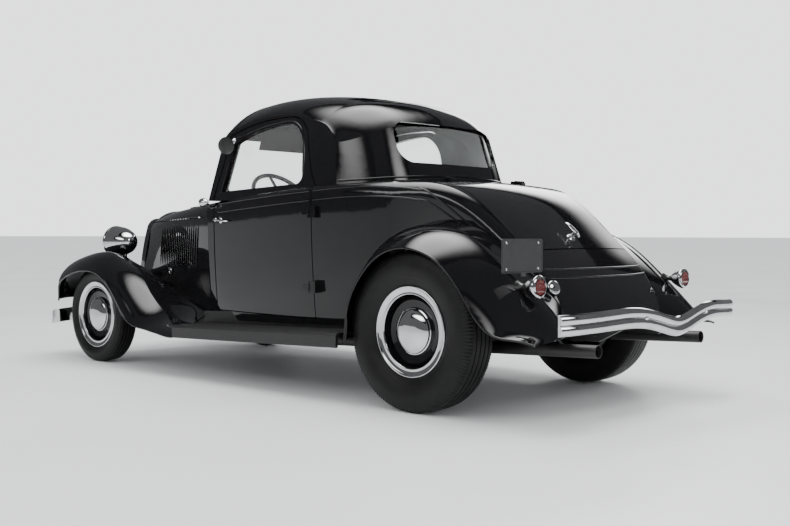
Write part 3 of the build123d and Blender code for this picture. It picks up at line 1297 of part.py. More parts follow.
LID_HANDLE_ANGLE = 148.5
LID_HANDLE_REACH = 828.0
LID_HANDLE_ROOT = 700.0
LID_HANDLE_R = 8.0
LID_GRIP = (16.0, 90.0, 16.0)
with BuildPart() as handle_form:
    base = tail_point(LID_HANDLE_ANGLE, LID_HANDLE_ROOT)
    outward = (cos(radians(LID_HANDLE_ANGLE)), 0, sin(radians(LID_HANDLE_ANGLE)))
    add(Solid.make_cylinder(LID_HANDLE_R, LID_HANDLE_REACH - LID_HANDLE_ROOT,
                            Plane(origin=at(base[0], 0.0, base[1]), z_dir=outward)))
    grip = tail_point(LID_HANDLE_ANGLE, LID_HANDLE_REACH)
    with Locations(at(grip[0], 0.0, grip[1])):
        Box(*LID_GRIP)
    add(body_form.part, mode=Mode.SUBTRACT)
with BuildPart() as deck_handle:
    add(outermost(handle_form.part, Axis((0, 0, 0), (-1, 0, 0))))
deck_handle.part.label = "deck_handle"
export_step(deck_handle.part, "parts/deck_handle.step")
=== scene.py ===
import math

import bmesh
import bpy
from mathutils import Matrix, Vector
from mathutils.bvhtree import BVHTree
from mathutils.kdtree import KDTree


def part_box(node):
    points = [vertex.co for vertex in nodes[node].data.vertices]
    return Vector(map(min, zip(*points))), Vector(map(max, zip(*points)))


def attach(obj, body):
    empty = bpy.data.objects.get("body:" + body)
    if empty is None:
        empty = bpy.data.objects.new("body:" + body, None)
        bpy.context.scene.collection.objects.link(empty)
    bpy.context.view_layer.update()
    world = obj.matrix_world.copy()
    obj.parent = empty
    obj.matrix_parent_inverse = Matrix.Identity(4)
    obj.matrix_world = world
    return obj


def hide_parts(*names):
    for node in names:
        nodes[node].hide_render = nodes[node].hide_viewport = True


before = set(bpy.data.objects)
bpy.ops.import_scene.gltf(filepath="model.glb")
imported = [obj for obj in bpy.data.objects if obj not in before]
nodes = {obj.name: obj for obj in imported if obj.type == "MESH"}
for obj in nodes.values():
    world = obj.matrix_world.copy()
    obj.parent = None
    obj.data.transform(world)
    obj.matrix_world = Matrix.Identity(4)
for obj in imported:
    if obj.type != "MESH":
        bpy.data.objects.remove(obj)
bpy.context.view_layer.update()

# Sizes below are in millimetres unless a comment says otherwise, and a station runs forward from
# the rear axle. Blender's own points are in metres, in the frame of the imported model.
REAR_AXLE_X = -1260.0
MM = 0.001
SIDES = {"left": 1.0, "right": -1.0}
PHOTO_SIZE = (790.0, 526.0)
FORWARD = Vector((1.0, 0.0, 0.0))
UP = Vector((0.0, 0.0, 1.0))
# Rays towards the car's side start this far out, and a turned profile ends this close to its axis.
OUTSIDE_Y = 1500.0
ON_AXIS = 0.01


def at(station, y, z):
    """Point in metres from a station, a half width and a height in millimetres."""
    return Vector(((REAR_AXLE_X + station) / 1000.0, y / 1000.0, z / 1000.0))


def inward(sign):
    """Direction from outside one side of the car towards its middle."""
    return Vector((0.0, -sign, 0.0))


# Materials


def new_material(name):
    """An empty node material with a Principled shader: (material, shader, add node, link)."""
    material = bpy.data.materials.new(name)
    material.use_nodes = True
    tree = material.node_tree
    shader = tree.nodes["Principled BSDF"]

    def node(kind, **values):
        made = tree.nodes.new(kind)
        for key, value in values.items():
            if key in made.inputs:
                made.inputs[key].default_value = value
            else:
                setattr(made, key, value)
        return made

    return material, shader, node, tree.links.new


def ramp(node, stops):
    """A colour ramp node from (place, colour) stops."""
    made = node("ShaderNodeValToRGB")
    elements = made.color_ramp.elements
    while len(elements) < len(stops):
        elements.new(0.5)
    for element, (place, colour) in zip(elements, stops):
        element.position = place
        element.color = (*colour, 1.0)
    return made


def noise(node, link, scale, detail=4.0, roughness=0.5):
    """Noise in object coordinates, so that it holds to the piece when it moves."""
    coordinates = node("ShaderNodeTexCoord")
    texture = node("ShaderNodeTexNoise", Scale=scale, Detail=detail, Roughness=roughness)
    link(coordinates.outputs["Object"], texture.inputs["Vector"])
    return texture


def spread(node, link, source, low, high):
    """A 0 to 1 output mapped to a range."""
    mapped = node("ShaderNodeMapRange")
    mapped.inputs["To Min"].default_value = low
    mapped.inputs["To Max"].default_value = high
    link(source, mapped.inputs["Value"])
    return mapped.outputs["Result"]


def bump(node, link, shader, source, strength, distance):
    """Tilts the shader's normal by a height, with its depth in metres."""
    made = node("ShaderNodeBump", Strength=strength, Distance=distance)
    link(source, made.inputs["Height"])
    link(made.outputs["Normal"], shader.inputs["Normal"])


MOTTLE_STOPS = (0.3, 0.7)


def mottled(name, dark, light, rough, scale, bump_at=None, **sockets):
    """A surface whose colour and roughness wander a little, with an optional fine bump."""
    material, shader, node, link = new_material(name)
    texture = noise(node, link, scale)
    colours = ramp(node, list(zip(MOTTLE_STOPS, (dark, light))))
    link(texture.outputs["Fac"], colours.inputs["Fac"])
    link(colours.outputs["Color"], shader.inputs["Base Color"])
    link(spread(node, link, texture.outputs["Fac"], *rough), shader.inputs["Roughness"])
    if bump_at:
        bump_scale, strength, distance = bump_at
        fine = noise(node, link, bump_scale, 3.0)
        bump(node, link, shader, fine.outputs["Fac"], strength, distance)
    for socket, value in sockets.items():
        shader.inputs[socket.replace("_", " ")].default_value = value
    return material


# name, dark and light colour, roughness range, noise scale, then the bump's scale, strength and
# depth in metres
PAINT = mottled("gloss_black_paint", (0.0035, 0.0035, 0.004), (0.005, 0.005, 0.0055),
                (0.03, 0.05), 3.0, Specular_IOR_Level=0.34)
CHROME = mottled("bright_chrome", (0.50, 0.505, 0.51), (0.57, 0.575, 0.58), (0.03, 0.06), 14.0,
                 Metallic=1.0)
RUBBER = mottled("tyre_rubber", (0.0035, 0.0035, 0.0037), (0.0065, 0.0065, 0.0066),
                 (0.40, 0.55), 24.0, (420.0, 0.12, 0.0006), Specular_IOR_Level=0.2)
BOARD = mottled("board_rubber", (0.006, 0.006, 0.0062), (0.010, 0.010, 0.010), (0.42, 0.55), 30.0,
                (300.0, 0.15, 0.0006))
STEEL = mottled("chassis_black", (0.007, 0.007, 0.007), (0.014, 0.0135, 0.013), (0.38, 0.55), 20.0,
                (160.0, 0.1, 0.0008))
SATIN = mottled("satin_black", (0.008, 0.008, 0.008), (0.014, 0.014, 0.014), (0.25, 0.35), 18.0,
                Coat_Weight=0.3, Coat_Roughness=0.1)
PLATE = mottled("plate_enamel", (0.012, 0.0125, 0.0135), (0.020, 0.0205, 0.022),
                (0.32, 0.42), 22.0, (240.0, 0.05, 0.0004))
HEADLINER = mottled("headliner_cloth", (0.030, 0.014, 0.009), (0.055, 0.026, 0.016),
                    (0.8, 0.95), 60.0, (500.0, 0.08, 0.0004))
CAST = mottled("painted_casting", (0.05, 0.05, 0.052), (0.09, 0.09, 0.092), (0.4, 0.6), 30.0,
               (180.0, 0.2, 0.001))


def make_leather():
    """Saddle leather with a fine cracked grain."""
    material, shader, node, link = new_material("saddle_leather")
    wander = noise(node, link, 9.0)
    colours = ramp(node, [(0.28, (0.15, 0.033, 0.012)), (0.72, (0.25, 0.062, 0.022))])
    link(wander.outputs["Fac"], colours.inputs["Fac"])
    link(colours.outputs["Color"], shader.inputs["Base Color"])
    link(spread(node, link, wander.outputs["Fac"], 0.38, 0.52), shader.inputs["Roughness"])
    coordinates = node("ShaderNodeTexCoord")
    grain = node("ShaderNodeTexVoronoi", Scale=260.0, feature="DISTANCE_TO_EDGE")
    link(coordinates.outputs["Object"], grain.inputs["Vector"])
    bump(node, link, shader, grain.outputs["Distance"], 0.35, 0.0012)
    return material


def make_glass(name, tint, roughness):
    """Clear glass whose roughness wanders up to a limit."""
    material, shader, node, link = new_material(name)
    texture = noise(node, link, 5.0)
    link(spread(node, link, texture.outputs["Fac"], 0.5 * roughness, roughness),
         shader.inputs["Roughness"])
    shader.inputs["Base Color"].default_value = (*tint, 1.0)
    shader.inputs["Transmission Weight"].default_value = 1.0
    shader.inputs["IOR"].default_value = 1.45
    return material


def make_lens(name, colour, prism_scale, gloss):
    """Moulded lamp glass with fine prisms pressed into it."""
    material, shader, node, link = new_material(name)
    coordinates = node("ShaderNodeTexCoord")
    prisms = node("ShaderNodeTexWave", Scale=prism_scale, Distortion=0.0, bands_direction="Y")
    link(coordinates.outputs["Object"], prisms.inputs["Vector"])
    bump(node, link, shader, prisms.outputs["Fac"], 0.4, 0.002)
    shader.inputs["Base Color"].default_value = (*colour, 1.0)
    shader.inputs["Roughness"].default_value = 0.08
    shader.inputs["Transmission Weight"].default_value = 0.55
    shader.inputs["Specular IOR Level"].default_value = gloss
    return material


LEATHER = make_leather()
GLASS = make_glass("window_glass", (0.93, 0.96, 0.95), 0.004)
RED_LENS = make_lens("red_lens", (0.16, 0.002, 0.002), 60.0, 0.25)
CLEAR_LENS = make_lens("clear_lens", (0.85, 0.87, 0.86), 40.0, 0.5)


def finish_nodes(material, *names):
    """Gives CAD nodes a material."""
    for name in names:
        data = nodes[name].data
        data.materials.clear()
        data.materials.append(material)


def both(name):
    return [f"{name}_{side}" for side in SIDES]


finish_nodes(PAINT, "body_shell", "deck_lid", "hood_strip", "grille_shell", *both("door"),
             *both("hood_top"), *both("hood_side"), *both("front_fender"), *both("rear_fender"))
finish_nodes(CHROME, "front_bumper", "rear_bumper", "headlamps", "cowl_lamps", "tail_lamps",
             "fuel_cap", "deck_handle", "grille_bars", *both("door_trim"))
finish_nodes(RUBBER, *both("tyre_front"), *both("tyre_rear"))
finish_nodes(PAINT, *both("wheel_front"), *both("wheel_rear"))
finish_nodes(GLASS, "windshield", "backlight", *both("door_glass"))
finish_nodes(CLEAR_LENS, "headlamp_lenses")
finish_nodes(RED_LENS, "tail_lamp_lenses")
finish_nodes(STEEL, "frame_rails", "front_axle", "rear_axle", "bumper_irons", "floor_pan",
             "fuel_tank", "radiator", "exhaust_pipes", *both("knuckle"))
finish_nodes(CAST, "engine_block")
finish_nodes(SATIN, "steering_column", "steering_wheel")
finish_nodes(BOARD, *both("running_board"))
finish_nodes(LEATHER, "seat_cushion", "seat_back", "dashboard")
finish_nodes(PLATE, "plate")


# Mesh tools

MOULDING_SINK = -2.0
# No bar here runs this way.
TUBE_SIDE = Vector((0.3, 0.4, 0.87))


class Shape:
    """Vertices and faces of one piece, gathered before its mesh is made."""

    def __init__(self):
        self.verts = []
        self.faces = []

    def grid(self, rows, loop_across=False, loop_along=False, caps=False):
        """Quads over rows of points, each row joined to the next."""
        start, wide = len(self.verts), len(rows[0])
        for row in rows:
            self.verts.extend(row)
        for i in range(len(rows) if loop_along else len(rows) - 1):
            here, there = start + i * wide, start + ((i + 1) % len(rows)) * wide
            for j in range(wide if loop_across else wide - 1):
                k = (j + 1) % wide
                self.faces.append((here + j, here + k, there + k, there + j))
        if caps:
            last = start + (len(rows) - 1) * wide
            self.faces.append(tuple(range(start, start + wide))[::-1])
            self.faces.append(tuple(range(last, last + wide)))

    def turned(self, centre, axis, profile, steps=96, cut=None):
        """A closed (across, radius) profile turned about an axis. cut(step, place) sinks a point."""
        axis = Vector(axis).normalized()
        first = axis.orthogonal().normalized()
        second = axis.cross(first)
        rows = []
        for step in range(steps):
            angle = 2.0 * math.pi * step / steps
            out = first * math.cos(angle) + second * math.sin(angle)
            row = []
            for place, (across, radius) in enumerate(profile):
                depth = cut(step, place) if cut else 0.0
                row.append(centre + axis * (across / 1000.0) + out * ((radius - depth) / 1000.0))
            rows.append(row)
        self.grid(rows, loop_across=True, loop_along=True)

    def tube(self, points, radii, sides=14, flat=1.0):
        """A round bar through points with a radius at each. flat below 1 thins it crosswise."""
        ring = [2.0 * math.pi * k / sides for k in range(sides)]
        rows = []
        for i, (point, radius) in enumerate(zip(points, radii)):
            ahead = (points[min(i + 1, len(points) - 1)] - points[max(i - 1, 0)]).normalized()
            side = ahead.cross(TUBE_SIDE).normalized()
            up = side.cross(ahead)
            rows.append([point + (side * math.cos(a) + up * math.sin(a) * flat) * (radius / 1000.0)
                         for a in ring])
        self.grid(rows, loop_across=True, caps=True)

    def strip(self, line, profile, scales=None):
        """A moulding along (place, normal) pairs. Its closed profile is (aside, height)."""
        rows = []
        for i, (place, normal) in enumerate(line):
            ahead = line[min(i + 1, len(line) - 1)][0] - line[max(i - 1, 0)][0]
            side = normal.cross(ahead).normalized()
            scale = scales[i] if scales else 1.0
            rows.append([place + side * (aside / 1000.0)
                         + normal * (max(height * scale, MOULDING_SINK) / 1000.0)
                         for aside, height in profile])
        self.grid(rows, loop_across=True, caps=True)

    def piece(self, name, material, body, slot, smooth_to=40.0):
        """Makes the mesh object, shades it smooth up to an angle and sets it on its body."""
        mesh = bpy.data.meshes.new(name)
        mesh.from_pydata(self.verts, [], self.faces)
        cleaner = bmesh.new()
        cleaner.from_mesh(mesh)
        bmesh.ops.recalc_face_normals(cleaner, faces=cleaner.faces)
        cleaner.to_mesh(mesh)
        cleaner.free()
        mesh.materials.append(material)
        for polygon in mesh.polygons:
            polygon.use_smooth = True
        mesh.set_sharp_from_angle(angle=math.radians(smooth_to))
        made = bpy.data.objects.new(name, mesh)
        bpy.context.scene.collection.objects.link(made)
        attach(made, body)
        return made


def smooth_line(points, per_span=8):
    """Points of a Catmull-Rom curve through the given ones."""
    points = [Vector(p) for p in points]
    ends = [points[0] * 2 - points[1], *points, points[-1] * 2 - points[-2]]
    line = []
    for a, b, c, d in zip(ends, ends[1:], ends[2:], ends[3:]):
        for step in range(per_span):
            t = step / per_span
            line.append(0.5 * (2 * b + (c - a) * t + (2 * a - 5 * b + 4 * c - d) * t * t
                               + (3 * b - a - 3 * c + d) * t * t * t))
    return line + [points[-1]]


TREES = {}


def cast(names, origin, direction):
    """Where a ray first meets the named CAD nodes: (place, normal towards the ray), or None."""
    best = None
    for name in names:
        if name not in TREES:
            node = nodes[name]
            corners = [node.matrix_world @ vertex.co for vertex in node.data.vertices]
            faces = [face.vertices for face in node.data.polygons]
            TREES[name] = BVHTree.FromPolygons(corners, faces)
        place, normal, _, distance = TREES[name].ray_cast(origin, direction)
        if place is not None and (best is None or distance < best[2]):
            best = (place, -normal if normal.dot(direction) > 0 else normal, distance)
    return best[:2] if best else None


def on_side(names, sign, line):
    """(place, normal) pairs where a side-view line of (station, 0, height) meets the nodes."""
    hits = [cast(names, at(station, sign * OUTSIDE_Y, height), inward(sign))
            for station, _, height in line]
    return [hit for hit in hits if hit]


def from_axis(axis, reach, angle, height, sign):
    """Where a level ray towards an upright axis, from a reach away, meets the body shell."""
    turn = math.radians(angle)
    out = Vector((math.cos(turn), sign * math.sin(turn), 0.0))
    return cast(["body_shell"], at(*axis, height) + out * (reach / 1000.0), -out)


def angle_rows(rows):
    """(angle, height) rows as points for smooth_line."""
    return [(angle, 0.0, height) for angle, height in rows]


# shares of a bead's half width and height, from its middle to its edge
BEAD_CURVE = [(0.35, 0.95), (0.72, 0.7), (1.0, 0.15)]


def half_round(width, height):
    """A bead's profile, sunk a little so that it sits in its panel."""
    one = [(aside * width, rise * height) for aside, rise in BEAD_CURVE] + [(width, MOULDING_SINK)]
    return [(-aside, rise) for aside, rise in reversed(one)] + one


# Tyres, trim rings and hub caps

WHEEL_PLACES = {"front": (2845.0, 697.0, 312.0), "rear": (0.0, 720.0, 385.0)}
TYRE_HALF = {"front": 72.0, "rear": 100.0}
RIM_HALF = {"front": 52.0, "rear": 70.0}
DISC_FACE = {"front": 26.0, "rear": 36.0}
BEAD_R = 220.0
BEAD_STEP = 1.0
BEAD_SEAT = (9.0, 8.0)
SIDE_STEPS = 24
SIDE_BOW = 0.85
SIDE_RIDGES = (0.16, 0.30, 0.62)
RIDGE_HEIGHT = 1.4
RIDGE_SHARE = 0.022
RIDGE_REACH = 1.0
SHOULDER_SHARE = 0.87
SHOULDER_DROP = 15.0
TREAD_SHARE = 0.72
SERRATION_PITCH = 17.0
SERRATION_DEPTH = 4.0
SERRATION_STEPS = 4
# share up the side where the serrations start, and over which they deepen
SERRATION_FROM = (0.80, 0.06)
# share of the half width, further aside, below the crown, serration depth
SHOULDER_ROWS = [(0.82, 0.0, 7.5, SERRATION_DEPTH), (TREAD_SHARE, 0.0, 3.5, SERRATION_DEPTH),
                 (TREAD_SHARE, -4.0, 3.0, 0.0)]
GROOVES = (-0.46, -0.155, 0.155, 0.46)
GROOVE_HALF = 2.6
GROOVE_FLARE = 0.6
GROOVE_DEPTH = 6.5
CROWN_DROP = 3.0
# across from the rim's edge, radius
TRIM_RING = [(1.0, 218.5), (5.0, 217.5), (7.0, 214.0), (6.0, 210.0), (2.5, 207.0), (1.0, 203.0),
             (-1.5, 192.0), (-3.0, 184.0), (-1.0, 180.0), (-2.5, 176.5), (-7.0, 175.0),
             (-10.0, 177.0), (-5.0, 190.0)]
# across from the wheel's disc, radius
HUB_CAP = [(-2.0, 112.0), (6.0, 113.0), (11.0, 111.0), (13.0, 106.5), (21.0, 104.0), (24.0, 100.0),
           (31.0, 84.0), (33.0, 79.0), (37.5, 64.0), (40.0, 44.0), (41.5, 20.0), (42.0, ON_AXIS),
           (-2.0, ON_AXIS)]


def tyre_profile(place):
    """(across, radius, serration depth) round a blackwall tyre, from one bead to the other."""
    radius, half, rim = WHEEL_PLACES[place][2], TYRE_HALF[place], RIM_HALF[place]
    foot, shoulder = rim + BEAD_STEP, SHOULDER_SHARE * half
    bulge = half - 0.5 * (foot + shoulder)
    rise = radius - SHOULDER_DROP - BEAD_R
    start, fade = SERRATION_FROM
    side = []
    for i in range(SIDE_STEPS + 1):
        u = i / SIDE_STEPS
        across = foot + (shoulder - foot) * u + bulge * math.sin(math.pi * u) ** SIDE_BOW
        ridge = sum(RIDGE_HEIGHT * math.exp(-((u - share) / RIDGE_SHARE) ** 2) for share in SIDE_RIDGES)
        depth = SERRATION_DEPTH * max(0.0, min(1.0, (u - start) / fade))
        side.append((min(across + ridge, half + RIDGE_REACH), BEAD_R + rise * u, depth))
    for share, aside, drop, depth in SHOULDER_ROWS:
        side.append((share * half + aside, radius - drop, depth))
    tread = []
    for groove in GROOVES:
        middle = groove * half
        crown = radius - CROWN_DROP * (groove / TREAD_SHARE) ** 2
        for aside, drop in ((-GROOVE_HALF - GROOVE_FLARE, 0.0), (-GROOVE_HALF, GROOVE_DEPTH),
                            (GROOVE_HALF, GROOVE_DEPTH), (GROOVE_HALF + GROOVE_FLARE, 0.0)):
            tread.append((middle + aside, crown - drop, 0.0))
    inboard = [(-across, r, depth) for across, r, depth in side]
    seat_in, seat_drop = BEAD_SEAT
    seat = [(rim - seat_in, BEAD_R - seat_drop, 0.0), (-rim + seat_in, BEAD_R - seat_drop, 0.0)]
    return seat + inboard + tread + side[::-1]


def make_wheels():
    for place, (station, track, height) in WHEEL_PLACES.items():
        profile = tyre_profile(place)
        blocks = round(2.0 * math.pi * height / SERRATION_PITCH)
        ring = [(RIM_HALF[place] + across, radius) for across, radius in TRIM_RING]
        cap = [(DISC_FACE[place] + across, radius) for across, radius in HUB_CAP]
        for side, sign in SIDES.items():
            centre, axis = at(station, sign * track, height), (0.0, sign, 0.0)
            body = f"wheel_{place}_{side}"
            tyre = Shape()
            tyre.turned(centre, axis, [(across, radius) for across, radius, _ in profile],
                        SERRATION_STEPS * blocks,
                        lambda step, k: profile[k][2] if step % SERRATION_STEPS > 1 else 0.0)
            made = tyre.piece(f"ribbed_tyre_{place}_{side}", RUBBER, body, "rubber", 32.0)
            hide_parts(f"tyre_{place}_{side}")
            bright = Shape()
            bright.turned(centre, axis, ring, 128)
            bright.piece(f"trim_ring_{place}_{side}", CHROME, body, "chrome", 50.0)
            hub = Shape()
            hub.turned(centre, axis, cap, 96)
            hub.piece(f"hub_cap_{place}_{side}", CHROME, body, "chrome", 30.0)


# Body mouldings. Lines are (station, 0, height) in side view.

BELT_LOW = [(1790, 0, 960), (1717, 0, 968), (1114, 0, 1007), (850, 0, 1022), (615, 0, 1035),
            (420, 0, 1038), (233, 0, 1027), (118, 0, 1012)]
BELT_EDGES = {"lower": 0.0, "upper": 50.0}
BELT_BEAD = half_round(5.0, 4.5)
# stations between which a bead lies on the door, and where it starts again on the quarter
DOOR_SPAN = (821.0, 1713.0)
QUARTER_START = 807.0
TAIL_AXIS = (300.0, 0.0)
TAIL_REACH = 2500.0
# (angle about the tail's upright axis, height) of the two lines that run down the quarter
SWEEP_HIGH = [(106.0, 1071), (110.6, 1054), (120.0, 985), (130.2, 891), (133.8, 849), (136.6, 803),
              (139.5, 738), (142.5, 702), (147.0, 686), (155.0, 681), (167.0, 680), (180.0, 680)]
SWEEP_LOW = [(106.0, 1017), (110.6, 1004), (120.0, 945), (130.2, 862), (133.8, 815), (136.6, 770),
             (139.5, 706), (142.5, 668), (147.0, 650), (155.0, 643), (167.0, 640), (180.0, 640)]


def make_belt():
    """Two beads along the belt line, each split between the door and the quarter."""
    for side, sign in SIDES.items():
        for edge, rise in BELT_EDGES.items():
            line = [point + UP * rise for point in smooth_line(BELT_LOW, 10)]
            spans = {
                f"door_{side}": [p for p in line if DOOR_SPAN[0] < p[0] < DOOR_SPAN[1]],
                "chassis": [p for p in line if p[0] < QUARTER_START],
            }
            for body, points in spans.items():
                node = body if body != "chassis" else "body_shell"
                shape = Shape()
                shape.strip(on_side([node], sign, points), BELT_BEAD)
                shape.piece(f"belt_bead_{edge}_{node}_{side}", PAINT, body, "paint")


def make_quarter_sweeps():
    for side, sign in SIDES.items():
        shape = Shape()
        for rows in (SWEEP_HIGH, SWEEP_LOW):
            line = [from_axis(TAIL_AXIS, TAIL_REACH, angle, height, sign)
                    for angle, _, height in smooth_line(angle_rows(rows), 6)]
            shape.strip([hit for hit in line if hit], BELT_BEAD)
        shape.piece(f"quarter_sweep_{side}", PAINT, "chassis", "paint")


WINDOW_FRAME = [(1660, 0, 1078), (1622, 0, 1230), (1586, 0, 1386), (1480, 0, 1420), (1350, 0, 1450),
                (1230, 0, 1466), (1110, 0, 1474), (1040, 0, 1455), (990, 0, 1408), (962, 0, 1330),
                (948, 0, 1245), (942, 0, 1165)]
WINDOW_BEAD = half_round(4.0, 4.0)
ROOF_AXIS = (800.0, 0.0)
ROOF_REACH = 2000.0
# (angle about the roof's upright axis, height), used from behind the door on
ROOF_FOOT = [(62.0, 1122), (75.0, 1122), (90.0, 1122), (110.0, 1128), (130.0, 1140), (150.0, 1152),
             (168.0, 1160), (180.0, 1162)]
ROOF_FOOT_FROM = 100.0
ROOF_FOOT_BEAD = half_round(6.0, 5.0)


def make_window_beads():
    """A bead round each door window, and one round the foot of the roof."""
    for side, sign in SIDES.items():
        shape = Shape()
        shape.strip(on_side([f"door_{side}"], sign, smooth_line(WINDOW_FRAME, 8)), WINDOW_BEAD)
        shape.piece(f"window_bead_{side}", PAINT, f"door_{side}", "paint")
        foot = [from_axis(ROOF_AXIS, ROOF_REACH, angle, height, sign)
                for angle, _, height in smooth_line(angle_rows(ROOF_FOOT), 8) if angle > ROOF_FOOT_FROM]
        shape = Shape()
        shape.strip([hit for hit in foot if hit], ROOF_FOOT_BEAD)
        shape.piece(f"roof_foot_bead_{side}", PAINT, "chassis", "paint")


# Lines along the rolled edges of the fenders: (station, half width, height)
FENDER_LIPS = {
    "front": [(3275, 785, 385), (3238, 803, 470), (3185, 820, 520), (3085, 838, 556), (2930, 853, 594),
              (2770, 856, 603), (2620, 856, 571), (2470, 856, 440), (2320, 856, 304), (2170, 856, 270),
              (2010, 856, 250), (1838, 856, 236)],
    "rear": [(388, 856, 304), (362, 858, 470), (290, 860, 610), (160, 862, 735), (-20, 862, 783),
             (-190, 860, 742), (-325, 856, 630), (-440, 850, 470), (-560, 842, 394), (-735, 818, 376)],
}
LIP_SEARCH = 60.0
LIP_SMOOTHING = 6
LIP_BEAD_R = 5.5


def make_lip_beads():
    """The rolled edge of each fender, found on the fender's own outermost rim."""
    for place, rows in FENDER_LIPS.items():
        for side, sign in SIDES.items():
            node = nodes[f"{place}_fender_{side}"]
            corners = [node.matrix_world @ vertex.co for vertex in node.data.vertices]
            finder = KDTree(len(corners))
            for index, corner in enumerate(corners):
                finder.insert(corner, index)
            finder.balance()
            line = []
            for station, half, height in smooth_line(rows, 8):
                wanted = at(station, sign * half, height)
                near = [corners[i] for _, i, _ in finder.find_range(wanted, LIP_SEARCH * MM)]
                line.append(min(near, key=lambda c: (c - wanted).length) if near else wanted)
            for _ in range(LIP_SMOOTHING):
                line[1:-1] = [(a + 2.0 * b + c) / 4.0 for a, b, c in zip(line, line[1:], line[2:])]
            shape = Shape()
            shape.tube(line, [LIP_BEAD_R] * len(line), 10)
            shape.piece(f"lip_bead_{place}_{side}", PAINT, "chassis", "paint")


# Hood louvres, at the slots in the hood sides
LOUVRE_COUNT = 20
LOUVRE_FIRST = 1994.0
LOUVRE_PITCH = 36.0
LOUVRE_ENDS = (634.0, 894.0)
LOUVRE_LEAN = 56.0
LOUVRE_STEPS = 14
LOUVRE_LAND = 13.0
LOUVRE_FADE = 0.02
LOUVRE_BLUNT = 0.3
LOUVRE_BLADE = [(17.0, -2.0), (17.0, 0.5), (9.0, 5.0), (1.0, 8.5), (-5.0, 9.5), (-6.5, 8.5), (0.0, 6.5),
                (8.0, 1.0), (12.0, -2.0)]


def make_louvres():
    """Blades that rise from the land ahead of each slot and hang over it."""
    low, high = LOUVRE_ENDS
    for side, sign in SIDES.items():
        shape = Shape()
        profile = [(sign * aside, height) for aside, height in LOUVRE_BLADE]
        for index in range(LOUVRE_COUNT):
            foot = LOUVRE_FIRST + index * LOUVRE_PITCH
            shares = [step / LOUVRE_STEPS for step in range(LOUVRE_STEPS + 1)]
            land = [(foot + LOUVRE_LAND - LOUVRE_LEAN * share, 0.0, low + (high - low) * share)
                    for share in shares]
            blade = [(place - FORWARD * (LOUVRE_LAND * MM), normal)
                     for place, normal in on_side([f"hood_side_{side}"], sign, land)]
            along = [i / (len(blade) - 1) for i in range(len(blade))]
            rise = [math.sin(math.pi * min(max(share, LOUVRE_FADE), 1.0 - LOUVRE_FADE)) ** LOUVRE_BLUNT
                    for share in along]
            shape.strip(blade, profile, rise)
        shape.piece(f"louvres_{side}", PAINT, "chassis", "paint", 50.0)


# Bright hardware. Turned profiles are (out from the panel, radius).

HANDLE = (1650.0, 925.0)
HANDLE_BOSS = [(-3.0, ON_AXIS), (-3.0, 21.0), (2.0, 21.0), (6.0, 17.0), (8.0, 11.0), (26.0, 9.0),
               (34.0, 12.0), (38.0, 10.0), (39.0, ON_AXIS)]
LEVER_OUT = 30.0
LEVER_FLAT = 0.75
# ahead, out, up and radius along the lever
LEVER = [(30, -2, 3, 3.0), (20, 0, 3, 8.5), (0, 2, 2, 11.0), (-30, 3, -1, 9.5), (-62, 2, -4, 8.0),
         (-84, -1, -7, 6.5), (-98, -6, -9, 1.5)]
MIRROR = (1575.0, 662.0, 1356.0)
MIRROR_ROOT = (1590.0, 575.0, 1392.0)
MIRROR_ARM = (6.0, 5.5, 5.5)
MIRROR_CLAMP = [(-14.0, ON_AXIS), (-14.0, 17.0), (4.0, 17.0), (10.0, 12.0), (12.0, ON_AXIS)]
MIRROR_CASE = [(14.0, ON_AXIS), (14.0, 45.0), (15.0, 46.0), (15.0, 50.0), (10.0, 51.0), (2.0, 49.0),
               (-9.0, 40.0), (-18.0, 22.0), (-20.0, ON_AXIS)]
MIRROR_TURN = 0.15
# share of the arm, from the mirror, where the search for the door's face starts
CLAMP_FROM = 0.2


def make_door_hardware():
    """A lever handle and a round mirror on each door."""
    for side, sign in SIDES.items():
        body = f"door_{side}"
        hit, normal = cast([body], at(HANDLE[0], sign * OUTSIDE_Y, HANDLE[1]), inward(sign))
        handle = Shape()
        handle.turned(hit, normal, HANDLE_BOSS, 40)
        lever = [hit + normal * ((LEVER_OUT + out) * MM) + Vector((ahead, 0.0, up)) * MM
                 for ahead, out, up, _ in LEVER]
        handle.tube(lever, [radius for *_, radius in LEVER], 16, LEVER_FLAT)
        made = handle.piece(f"door_lever_{side}", CHROME, body, "chrome")
        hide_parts(f"door_trim_{side}")
        arm = Shape()
        head = at(MIRROR[0], sign * MIRROR[1], MIRROR[2])
        root = at(MIRROR_ROOT[0], sign * MIRROR_ROOT[1], MIRROR_ROOT[2])
        arm.tube([root, root.lerp(head, 0.5), head], MIRROR_ARM, 14)
        clamp_hit = cast([body], head + (root - head) * CLAMP_FROM, (root - head).normalized())
        foot = clamp_hit[0] if clamp_hit else root
        arm.turned(foot, head - root, MIRROR_CLAMP, 28)
        arm.piece(f"mirror_arm_{side}", CHROME, body, "chrome")
        case = Shape()
        case.turned(head, (-1.0, MIRROR_TURN * sign, 0.0), MIRROR_CASE, 48)
        case.piece(f"mirror_case_{side}", SATIN, body, "chrome")


BEHIND = -1200.0
DECK_LEVER_Z = 828.0
DECK_BOSS = [(-3.0, ON_AXIS), (-3.0, 24.0), (2.0, 24.0), (7.0, 19.0), (9.0, 11.0), (30.0, 9.0),
             (40.0, 11.0), (46.0, 8.0), (47.0, ON_AXIS)]
DECK_BAR_OUT = 36.0
DECK_BAR_FLAT = 0.8
# up the lid, out and radius along the bar
DECK_BAR = [(-34, -4, 3.0), (-28, 0, 8.0), (-10, 3, 11.0), (10, 3, 11.0), (40, 4, 9.0), (66, 2, 7.0),
            (76, -2, 2.0)]


